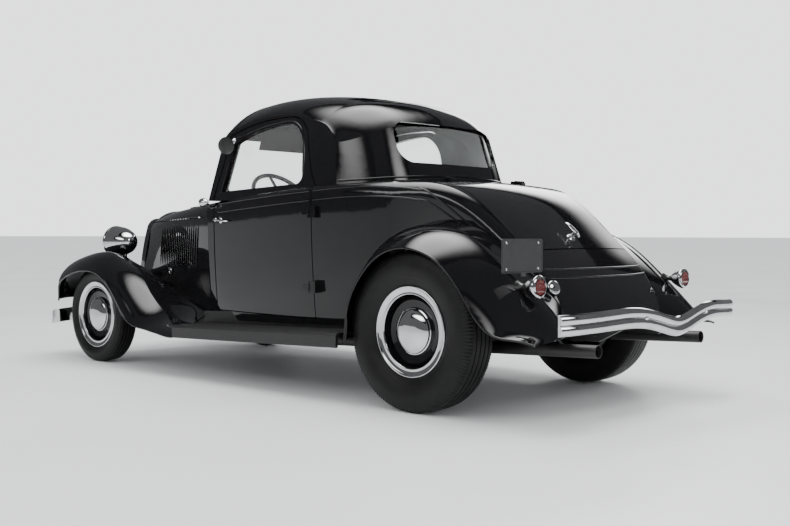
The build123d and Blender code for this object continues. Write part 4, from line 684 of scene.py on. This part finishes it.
def make_deck_handle():
    hit, normal = cast(["deck_lid"], at(BEHIND, 0.0, DECK_LEVER_Z), FORWARD)
    shape = Shape()
    shape.turned(hit, normal, DECK_BOSS, 40)
    up = (UP - normal * UP.dot(normal)).normalized()
    bar = [hit + up * (rise * MM) + normal * ((DECK_BAR_OUT + out) * MM) for rise, out, _ in DECK_BAR]
    shape.tube(bar, [radius for *_, radius in DECK_BAR], 16, DECK_BAR_FLAT)
    made = shape.piece("deck_lever", CHROME, "deck_lid", "chrome")
    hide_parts("deck_handle")


# Bumpers: which way each faces
BUMPERS = {"rear_bumper": -1.0, "front_bumper": 1.0}
BUMPER_AWAY = 500.0
BUMPER_SCAN = 60
BUMPER_BOLT_Y = 280.0
BUMPER_BOLT = (13.0, 9.0)
# Painted shade for each bumper's groove, as a satin black strip: its samples, its inset from the ends and
# its (aside, height) profile
GROOVE_SHADE_STEPS = 32
GROOVE_SHADE_INSET = 12.0
GROOVE_SHADE_PROFILE = [(-2.6, -1.5), (-2.6, 0.3), (-1.8, 0.8), (1.8, 0.8), (2.6, 0.3), (2.6, -1.5)]


def bumper_middle(node, y):
    """(place, normal) at the middle of a bumper's height, at a half width."""
    outward = FORWARD * BUMPERS[node]
    low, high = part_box(node)
    hits = []
    for step in range(BUMPER_SCAN + 1):
        height = low[2] + (high[2] - low[2]) * step / BUMPER_SCAN
        start = Vector((0.5 * (low[0] + high[0]), y * MM, height)) + outward * (BUMPER_AWAY * MM)
        if cast([node], start, -outward):
            hits.append(height)
    middle = Vector((0.5 * (low[0] + high[0]), y * MM, 0.5 * (hits[0] + hits[-1])))
    return cast([node], middle + outward * (BUMPER_AWAY * MM), -outward)


# shares of a bolt head's height and radius, from its foot to its top
DOME_CURVE = [(0.35, 1.0), (0.8, 0.72), (1.0, 0.3)]
DOME_SINK = -2.0


def dome(shape, hit, radius, height):
    """A round bolt head on a panel."""
    place, normal = hit
    curve = [(up * height, out * radius) for up, out in DOME_CURVE]
    foot = [(DOME_SINK, ON_AXIS), (DOME_SINK, radius)]
    shape.turned(place, normal, foot + curve + [(height, ON_AXIS)], steps=20)


PLATE_MID = (-561.0, 668.0, 750.0)
PLATE_BOLTS = (118.0, 58.0)
PLATE_BOLT = (6.5, 4.0)
PLATE_HALF = (147.5, 71.0)
PLATE_ROUND = 12.0
PLATE_BEAD = half_round(2.0, 1.4)
CORNER_STEPS = 5


def make_bolts():
    """Bolt heads on the bumpers and the plate, and the plate's pressed border."""
    bumper = Shape()
    for sign in SIDES.values():
        for node in BUMPERS:
            dome(bumper, bumper_middle(node, sign * BUMPER_BOLT_Y), *BUMPER_BOLT)
    bumper.piece("bumper_bolts", CHROME, "chassis", "chrome")
    plate = Shape()
    x, y, z = PLATE_MID
    for aside in (-PLATE_BOLTS[0], PLATE_BOLTS[0]):
        for lift in (-PLATE_BOLTS[1], PLATE_BOLTS[1]):
            dome(plate, (at(x, y + aside, z + lift), -FORWARD), *PLATE_BOLT)
    plate.piece("plate_bolts", CHROME, "chassis", "chrome")
    border = Shape()
    corners = []
    for quarter, (to_y, to_z) in enumerate(((1, 1), (-1, 1), (-1, -1), (1, -1))):
        for step in range(CORNER_STEPS + 1):
            turn = math.radians(90.0 * (quarter + step / CORNER_STEPS))
            corner_y = y + to_y * (PLATE_HALF[0] - PLATE_ROUND) + PLATE_ROUND * math.cos(turn)
            corner_z = z + to_z * (PLATE_HALF[1] - PLATE_ROUND) + PLATE_ROUND * math.sin(turn)
            corners.append((at(x, corner_y, corner_z), -FORWARD))
    border.strip(corners + corners[:1], PLATE_BEAD)
    border.piece("plate_border", PLATE, "chassis", "plate")


def make_bumper_groove_shade():
    """A satin black strip along the middle of each bumper, painted shade that stands for the dark of its
    groove.
    """
    shape = Shape()
    for node, facing in BUMPERS.items():
        reach = 1000.0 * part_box(node)[1][1] - GROOVE_SHADE_INSET
        hits = [bumper_middle(node, reach * step / GROOVE_SHADE_STEPS)
                for step in range(-GROOVE_SHADE_STEPS, GROOVE_SHADE_STEPS + 1)]
        shape.strip([(hit[0], FORWARD * facing) for hit in hits if hit], GROOVE_SHADE_PROFILE)
    shape.piece("bumper_groove_shade", SATIN, "chassis", "paint")


# Running board ribs
BOARD_STATIONS = (1812.0, 505.0)
BOARD_ABOVE = 700.0
BOARD_RIBS = (640.0, 836.0, 13)
BOARD_STEPS = 8
RIB_PROFILE = [(-4.5, -2.0), (-4.5, 0.3), (-3.0, 2.4), (3.0, 2.4), (4.5, 0.3), (4.5, -2.0)]
LEVEL_ENOUGH = 0.8


def make_board_ribs():
    first, last, count = BOARD_RIBS
    front, back = BOARD_STATIONS
    for side, sign in SIDES.items():
        shape = Shape()
        for index in range(count):
            y = sign * (first + (last - first) * index / (count - 1))
            hits = [cast([f"running_board_{side}"],
                         at(front + (back - front) * step / BOARD_STEPS, y, BOARD_ABOVE), -UP)
                    for step in range(BOARD_STEPS + 1)]
            line = [hit for hit in hits if hit and hit[1].z > LEVEL_ENOUGH]
            if len(line) > 2:
                shape.strip(line, RIB_PROFILE)
        shape.piece(f"board_ribs_{side}", BOARD, "chassis", "board", 30.0)


# Lamps. Turned profiles are (along the lamp's axis, radius).
HEADLAMP = (2907.0, 500.0, 789.0)
HEADLAMP_FACE = 96.0
HEADLAMP_RIM = [(-14.0, 104.5), (-9.0, 108.0), (-2.0, 108.5), (4.0, 105.0), (6.5, 99.0), (5.0, 96.5),
                (-2.0, 97.0)]
TAIL_LAMP = (-640.0, 656.0, 613.0)
TAIL_RIM = [(-6.0, 52.5), (-1.0, 54.0), (5.0, 52.0), (10.0, 46.0), (11.5, 40.5), (8.0, 38.6),
            (-2.0, 39.0)]
TAIL_SHELL = [(0.0, ON_AXIS), (0.0, 52.0), (6.0, 52.5), (22.0, 46.0), (42.0, 36.0), (56.0, 27.0),
              (62.0, 22.0), (64.0, ON_AXIS)]
TAIL_SHELL_LENGTH = 64.0
STALK_START = [(60.0, ON_AXIS), (60.0, 19.0), (72.0, 15.0)]
# measured from the fender, at the foot of the stalk
STALK_FOOT = [(-24.0, 13.0), (-8.0, 20.0), (6.0, 27.0), (6.0, ON_AXIS)]
# heights above the lamp's middle and half width of the plate's stay
PLATE_STAY = [(45.0, 90.0, 13.0), (90.0, 150.0, 20.0)]
PLATE_STAY_SPAN = (2.0, 9.0)


def make_lamp_rims():
    front, rear = Shape(), Shape()
    for sign in SIDES.values():
        x, y, z = HEADLAMP
        front.turned(at(x + HEADLAMP_FACE, sign * y, z), FORWARD, HEADLAMP_RIM, 72)
        x, y, z = TAIL_LAMP
        rear.turned(at(x, sign * y, z), -FORWARD, TAIL_RIM, 56)
    front.piece("headlamp_rims", CHROME, "chassis", "chrome")
    rear.piece("tail_lamp_rims", CHROME, "chassis", "chrome")


def make_tail_lamps():
    """Bright shells on dark stalks from the fenders, and the stay that carries the plate."""
    shells, stalks = Shape(), Shape()
    x, y, z = TAIL_LAMP
    for side, sign in SIDES.items():
        face = at(x, sign * y, z)
        shells.turned(face, FORWARD, TAIL_SHELL, 56)
        hit = cast([f"rear_fender_{side}"], face + FORWARD * (TAIL_SHELL_LENGTH * MM), FORWARD)
        length = 1000.0 * (hit[0] - face).length
        foot = [(length + along, radius) for along, radius in STALK_FOOT]
        stalks.turned(face, FORWARD, STALK_START + foot, 32)
    back, ahead = (PLATE_MID[0] + along for along in PLATE_STAY_SPAN)
    for low, high, half in PLATE_STAY:
        outline = ((back, y - half), (back, y + half), (ahead, y + half), (ahead, y - half))
        stalks.grid([[at(station, across, z + lift) for station, across in outline]
                     for lift in (low, high)], loop_across=True, caps=True)
    made = shells.piece("tail_lamp_shells", CHROME, "chassis", "chrome")
    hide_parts("tail_lamps")
    stalks.piece("tail_lamp_stalks", SATIN, "chassis", "paint")


LENS_R = 97.0
LENS_BULGE = 13.0
LENS_BACK = 6.0
LENS_RINGS = 30
LENS_STEPS = 160
LENS_EYE = 0.002
FLUTE_PITCH = 13.0
FLUTE_DEPTH = 1.6
FLUTE_FADE = 6.0


def lens_ring(middle, share):
    """One ring of a fluted glass, at a share of its radius."""
    radius = LENS_R * max(share, LENS_EYE)
    row = []
    for step in range(LENS_STEPS):
        turn = 2.0 * math.pi * step / LENS_STEPS
        y, z = radius * math.cos(turn), radius * math.sin(turn)
        fade = min(1.0, FLUTE_FADE * (1.0 - share))
        flute = FLUTE_DEPTH * abs(math.sin(math.pi * y / FLUTE_PITCH)) * fade
        row.append(middle + Vector((LENS_BULGE * (1.0 - share ** 2) - flute, y, z)) / 1000.0)
    return row


def make_headlamp_glass():
    """Domed headlamp glasses with upright flutes."""
    low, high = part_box("headlamp_lenses")
    shape = Shape()
    for sign in SIDES.values():
        middle = Vector((high[0], sign * HEADLAMP[1] * MM, 0.5 * (low[2] + high[2])))
        rows = [lens_ring(middle, ring / LENS_RINGS) for ring in range(LENS_RINGS + 1)]
        rows.append([point - FORWARD * (LENS_BACK * MM) for point in rows[-1]])
        shape.grid(rows, loop_across=True, caps=True)
    made = shape.piece("headlamp_glass", CLEAR_LENS, "chassis", "glass", 50.0)
    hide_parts("headlamp_lenses")


CAP_AXIS = (-0.9, 0.25, 0.35)
CAP_DOME = [(-12.0, ON_AXIS), (-12.0, 30.0), (-6.0, 33.0), (3.0, 34.0), (7.0, 32.0), (11.0, 25.0),
            (13.5, 14.0), (14.2, ON_AXIS)]


def make_fuel_cap():
    low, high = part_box("fuel_cap")
    shape = Shape()
    shape.turned(0.5 * (low + high), CAP_AXIS, CAP_DOME, 64)
    made = shape.piece("fuel_cap_dome", CHROME, "chassis", "chrome")
    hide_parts("fuel_cap")


HOOD_LATCH = (2470.0, 612.0)
LATCH_BOSS = (13.0, 12.0)
LATCH_RING_OUT = 13.0
LATCH_RING_SHIFT = (-22.0, 0.0, -10.0)
LATCH_RING = [(-3.5, 20.0), (0.0, 16.5), (3.5, 20.0), (0.0, 23.5)]


def make_hood_latches():
    for side, sign in SIDES.items():
        place, normal = cast([f"hood_side_{side}"],
                             at(HOOD_LATCH[0], sign * OUTSIDE_Y, HOOD_LATCH[1]), inward(sign))
        shape = Shape()
        dome(shape, (place, normal), *LATCH_BOSS)
        ring_at = place + normal * (LATCH_RING_OUT * MM) + Vector(LATCH_RING_SHIFT) * MM
        shape.turned(ring_at, normal, LATCH_RING, 36)
        shape.piece(f"hood_latch_{side}", CHROME, "chassis", "chrome")


# Cabin trim

CARD_STATIONS = (900.0, 1625.0)
CARD_HEIGHTS = (440.0, 1048.0)
CARD_STEPS = (24, 20)
CARD_SINK = 12.0
CARD_LIFT = 0.5
CARD_STUFFING = 8.0
CARD_EDGE = 9.0
CARD_PLEATS = 9.0
CARD_PLEAT_RISE = 1.5
CARD_PLEAT_SPAN = (0.12, 0.7)
HEADLINER_STATIONS = (560.0, 1500.0)
HEADLINER_HALF = 470.0
HEADLINER_STEPS = 32
HEADLINER_UNDER = 1300.0
HEADLINER_EDGE_Z = 1440.0
HEADLINER_GAP = 4.0
HEADLINER_BOWS = 4.0
HEADLINER_SAG = 4.0
HEADLINER_THICK = 3.0


def make_door_cards():
    """A leather panel on the inside of each door, raised in its middle and pleated."""
    along, up = CARD_STEPS
    for side, sign in SIDES.items():
        rows = []
        for i in range(along + 1):
            row = []
            for j in range(up + 1):
                u, v = i / along, j / up
                station = CARD_STATIONS[0] + (CARD_STATIONS[1] - CARD_STATIONS[0]) * u
                height = CARD_HEIGHTS[0] + (CARD_HEIGHTS[1] - CARD_HEIGHTS[0]) * v
                hit = cast([f"door_{side}"], at(station, 0.0, height), -inward(sign))
                raised = min(1.0, CARD_EDGE * min(u, 1.0 - u, v, 1.0 - v)) ** 0.5
                pleat = abs(math.sin(math.pi * CARD_PLEATS * u))
                if not CARD_PLEAT_SPAN[0] < v < CARD_PLEAT_SPAN[1]:
                    pleat = 0.0
                lift = CARD_LIFT + CARD_STUFFING * raised + CARD_PLEAT_RISE * pleat
                row.append(hit[0] + inward(sign) * (lift * MM))
            rows.append(row + [point - inward(sign) * (CARD_SINK * MM) for point in reversed(row)])
        shape = Shape()
        shape.grid(rows, loop_across=True, caps=True)
        shape.piece(f"door_card_{side}", LEATHER, f"door_{side}", "leather", 60.0)


def make_headliner():
    """Cloth under the roof, hung from bows."""
    first, last = HEADLINER_STATIONS
    rows = []
    for i in range(HEADLINER_STEPS + 1):
        station = first + (last - first) * i / HEADLINER_STEPS
        sag = HEADLINER_SAG * abs(math.sin(math.pi * HEADLINER_BOWS * i / HEADLINER_STEPS))
        row = []
        for j in range(HEADLINER_STEPS + 1):
            y = HEADLINER_HALF * (2.0 * j / HEADLINER_STEPS - 1.0)
            hit = cast(["body_shell"], at(station, y, HEADLINER_UNDER), UP)
            hung = hit[0] - UP * ((HEADLINER_GAP + sag) * MM) if hit else at(station, y, HEADLINER_EDGE_Z)
            row.append(hung)
        rows.append(row + [point + UP * (HEADLINER_THICK * MM) for point in reversed(row)])
    shape = Shape()
    shape.grid(rows, loop_across=True, caps=True)
    shape.piece("headliner", HEADLINER, "chassis", "leather", 60.0)


VISOR_TOP = (1470.0, 1478.0)
VISOR_LEAN = 0.35
VISOR_MID_Y = 265.0
VISOR_HALF = 190.0
VISOR_DROP = (20.0, 138.0)
VISOR_STEPS = (12, 8)
VISOR_EDGE = 2.0
VISOR_BULGE = 7.0


def visor_point(u, v, sign, face):
    """A point of a sun visor's front or back, from shares across (-1 to 1) and down (0 to 1)."""
    drop = VISOR_DROP[0] + (VISOR_DROP[1] - VISOR_DROP[0]) * v
    thick = VISOR_EDGE + VISOR_BULGE * (1.0 - u ** 4) * math.sin(math.pi * v)
    return at(VISOR_TOP[0] + VISOR_LEAN * drop + face * thick, sign * VISOR_MID_Y + VISOR_HALF * u,
              VISOR_TOP[1] - drop)


def make_visors():
    across, down = VISOR_STEPS
    shares = [j / down for j in range(down + 1)]
    for side, sign in SIDES.items():
        rows = []
        for i in range(across + 1):
            u = 2.0 * i / across - 1.0
            rows.append([visor_point(u, v, sign, -1.0) for v in shares]
                        + [visor_point(u, v, sign, 1.0) for v in reversed(shares)])
        shape = Shape()
        shape.grid(rows, loop_across=True, caps=True)
        shape.piece(f"sun_visor_{side}", HEADLINER, "chassis", "leather", 60.0)


# The seat. Its voxel, swell and pleat depth are in metres.
SEAT_SHRINK = 0.955
SEAT_VOXEL = 0.012
SEAT_SWELL = 0.026
SEAT_PRESSURE = 4.0
SEAT_FRAMES = 20
SEAT_PLEATS = 14.0
SEAT_PLEAT_DEPTH = 0.011
SEAT_FACING = 0.35


def apply_modifiers(piece):
    """Leaves the evaluated mesh in place of the piece's own mesh and modifiers."""
    shown = piece.evaluated_get(bpy.context.evaluated_depsgraph_get())
    fresh = bpy.data.meshes.new_from_object(shown)
    piece.modifiers.clear()
    piece.data = fresh


def stuff(seat):
    """Blows the seat up as cloth under pressure, with a cap on how far a point may move."""
    start = [vertex.co.copy() for vertex in seat.data.vertices]
    cloth = seat.modifiers.new("stuffing", "CLOTH")
    cloth.settings.use_pressure = True
    cloth.settings.uniform_pressure_force = SEAT_PRESSURE
    cloth.settings.effector_weights.gravity = 0.0
    cloth.settings.quality = 5
    for step in range(1, SEAT_FRAMES + 1):
        bpy.context.scene.frame_set(step)
    apply_modifiers(seat)
    for vertex, rest in zip(seat.data.vertices, start):
        move = vertex.co - rest
        if move.length > SEAT_SWELL:
            vertex.co = rest + move.normalized() * SEAT_SWELL


def padded_seat(node_name, piece_name, pleat_axis):
    """A stuffed seat: the CAD form a little smaller, blown up as cloth, then pleated."""
    mesh = nodes[node_name].data.copy()
    mesh.name = piece_name
    seat = bpy.data.objects.new(piece_name, mesh)
    bpy.context.scene.collection.objects.link(seat)
    corners = [vertex.co.copy() for vertex in mesh.vertices]
    low = Vector([min(c[i] for c in corners) for i in range(3)])
    high = Vector([max(c[i] for c in corners) for i in range(3)])
    middle = 0.5 * (low + high)
    for vertex in mesh.vertices:
        vertex.co = middle + (vertex.co - middle) * SEAT_SHRINK
    bpy.context.view_layer.objects.active = seat
    remesh = seat.modifiers.new("even", "REMESH")
    remesh.mode = "VOXEL"
    remesh.voxel_size = SEAT_VOXEL
    apply_modifiers(seat)
    stuff(seat)
    for vertex in seat.data.vertices:
        across = (vertex.co.y - low.y) / (high.y - low.y)
        pleat = abs(math.sin(math.pi * SEAT_PLEATS * across)) ** 0.5
        facing = max(0.0, vertex.normal.dot(pleat_axis) - SEAT_FACING) / (1.0 - SEAT_FACING)
        vertex.co -= pleat_axis * (SEAT_PLEAT_DEPTH * (1.0 - pleat) * facing)
    for polygon in seat.data.polygons:
        polygon.use_smooth = True
    seat.data.materials.clear()
    seat.data.materials.append(LEATHER)
    finer = seat.modifiers.new("finer", "SUBSURF")
    finer.levels = 1
    finer.render_levels = 1
    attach(seat, "chassis")
    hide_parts(node_name)


make_wheels()
make_belt()
make_quarter_sweeps()
make_window_beads()
make_lip_beads()
make_louvres()
make_door_hardware()
make_deck_handle()
make_bolts()
make_bumper_groove_shade()
make_board_ribs()
make_lamp_rims()
make_tail_lamps()
make_headlamp_glass()
make_fuel_cap()
make_hood_latches()
make_door_cards()
make_headliner()
make_visors()
padded_seat("seat_cushion", "seat_pad", Vector((0.0, 0.0, 1.0)))
padded_seat("seat_back", "seat_squab", Vector((0.97, 0.0, 0.24)))


# Camera, light and floor, in metres and degrees

CAMERA_PLACE = (-4.5539, 4.3986, 0.8446)
CAMERA_YAW = -46.77
CAMERA_PITCH = -1.59
CAMERA_ROLL = 0.12
CAMERA_FOCAL_PX = 1039.3
SENSOR_MM = 36.0
ROOM_STRENGTH = 0.22
BACKDROP_STRENGTH = 2.4
SOFTBOX_EDGE = 0.75
FLOOR_HALF = 300.0
# place, target, (width, depth), strength
SOFTBOXES = {
    "overhead": ((0.3, 0.0, 5.4), (0.0, 0.0, 0.0), (9.0, 5.0), 10.5),
    "rear_key": ((-6.5, 1.0, 4.6), (-1.2, 0.2, 0.8), (5.5, 3.2), 10.0),
    "side_fill": ((0.5, 7.0, 4.0), (0.2, 0.4, 0.7), (8.0, 2.6), 7.0),
    "far_side": ((1.5, -6.5, 3.8), (0.0, -0.3, 0.8), (8.0, 2.6), 8.0),
}


def make_camera():
    """A camera at the photograph's place, turned by its yaw, pitch and roll."""
    data = bpy.data.cameras.new("camera")
    data.sensor_width = SENSOR_MM
    data.lens = SENSOR_MM * CAMERA_FOCAL_PX / PHOTO_SIZE[0]
    camera = bpy.data.objects.new("camera", data)
    bpy.context.scene.collection.objects.link(camera)
    yaw, pitch, roll = (math.radians(v) for v in (CAMERA_YAW, CAMERA_PITCH, CAMERA_ROLL))
    ahead = Vector((math.cos(yaw) * math.cos(pitch), math.sin(yaw) * math.cos(pitch), math.sin(pitch)))
    level = Vector((math.sin(yaw), -math.cos(yaw), 0.0))
    upright = level.cross(ahead)
    right = level * math.cos(roll) + upright * math.sin(roll)
    up = upright * math.cos(roll) - level * math.sin(roll)
    turn = Matrix((right, up, -ahead)).transposed().to_4x4()
    camera.matrix_world = Matrix.Translation(CAMERA_PLACE) @ turn
    bpy.context.scene.camera = camera


def flat_square(name, half, material):
    """A level square about the origin."""
    mesh = bpy.data.meshes.new(name)
    mesh.from_pydata([(-half, -half, 0), (half, -half, 0), (half, half, 0), (-half, half, 0)], [],
                     [(0, 1, 2, 3)])
    mesh.materials.append(material)
    square = bpy.data.objects.new(name, mesh)
    bpy.context.scene.collection.objects.link(square)
    return square


def softbox(name, place, target, size, strength):
    """A light panel that fades towards its edges, so that its image in the paint is soft."""
    material = bpy.data.materials.new(name)
    material.use_nodes = True
    tree = material.node_tree
    tree.nodes.clear()
    coordinates = tree.nodes.new("ShaderNodeTexCoord")
    fade = tree.nodes.new("ShaderNodeTexGradient")
    fade.gradient_type = "SPHERICAL"
    shape = tree.nodes.new("ShaderNodeMapRange")
    shape.interpolation_type = "SMOOTHERSTEP"
    shape.inputs["To Max"].default_value = strength
    shape.inputs["From Max"].default_value = SOFTBOX_EDGE
    glow = tree.nodes.new("ShaderNodeEmission")
    output = tree.nodes.new("ShaderNodeOutputMaterial")
    tree.links.new(coordinates.outputs["Object"], fade.inputs["Vector"])
    tree.links.new(fade.outputs["Fac"], shape.inputs["Value"])
    tree.links.new(shape.outputs["Result"], glow.inputs["Strength"])
    tree.links.new(glow.outputs["Emission"], output.inputs["Surface"])
    panel = flat_square(name, 1.0, material)
    panel.location = place
    panel.scale = (0.5 * size[0], 0.5 * size[1], 1.0)
    panel.rotation_mode = "QUATERNION"
    panel.rotation_quaternion = (Vector(target) - Vector(place)).to_track_quat("-Z", "Y")
    panel.visible_camera = False


def make_studio():
    """A bright even room, which shows dimmer in the gloss of the paint and the bright work."""
    world = bpy.data.worlds.new("studio")
    bpy.context.scene.world = world
    world.use_nodes = True
    tree = world.node_tree
    room = tree.nodes["Background"]
    room.inputs["Color"].default_value = (0.80, 0.82, 0.85, 1.0)
    room.inputs["Strength"].default_value = ROOM_STRENGTH
    backdrop = tree.nodes.new("ShaderNodeBackground")
    backdrop.inputs["Color"].default_value = (0.93, 0.94, 0.95, 1.0)
    backdrop.inputs["Strength"].default_value = BACKDROP_STRENGTH
    seen = tree.nodes.new("ShaderNodeLightPath")
    mirrored = tree.nodes.new("ShaderNodeMath")
    mirrored.operation = "SUBTRACT"
    mirrored.use_clamp = True
    choice = tree.nodes.new("ShaderNodeMixShader")
    tree.links.new(seen.outputs["Is Glossy Ray"], mirrored.inputs[0])
    tree.links.new(seen.outputs["Is Transmission Ray"], mirrored.inputs[1])
    tree.links.new(mirrored.outputs["Value"], choice.inputs["Fac"])
    tree.links.new(backdrop.outputs["Background"], choice.inputs[1])
    tree.links.new(room.outputs["Background"], choice.inputs[2])
    tree.links.new(choice.outputs["Shader"], tree.nodes["World Output"].inputs["Surface"])
    for name, row in SOFTBOXES.items():
        softbox(name, *row)
    flat_square("floor", FLOOR_HALF, mottled("floor_paint", (0.70, 0.705, 0.71), (0.74, 0.745, 0.75),
                                             (0.3, 0.42), 0.8))


make_camera()
make_studio()
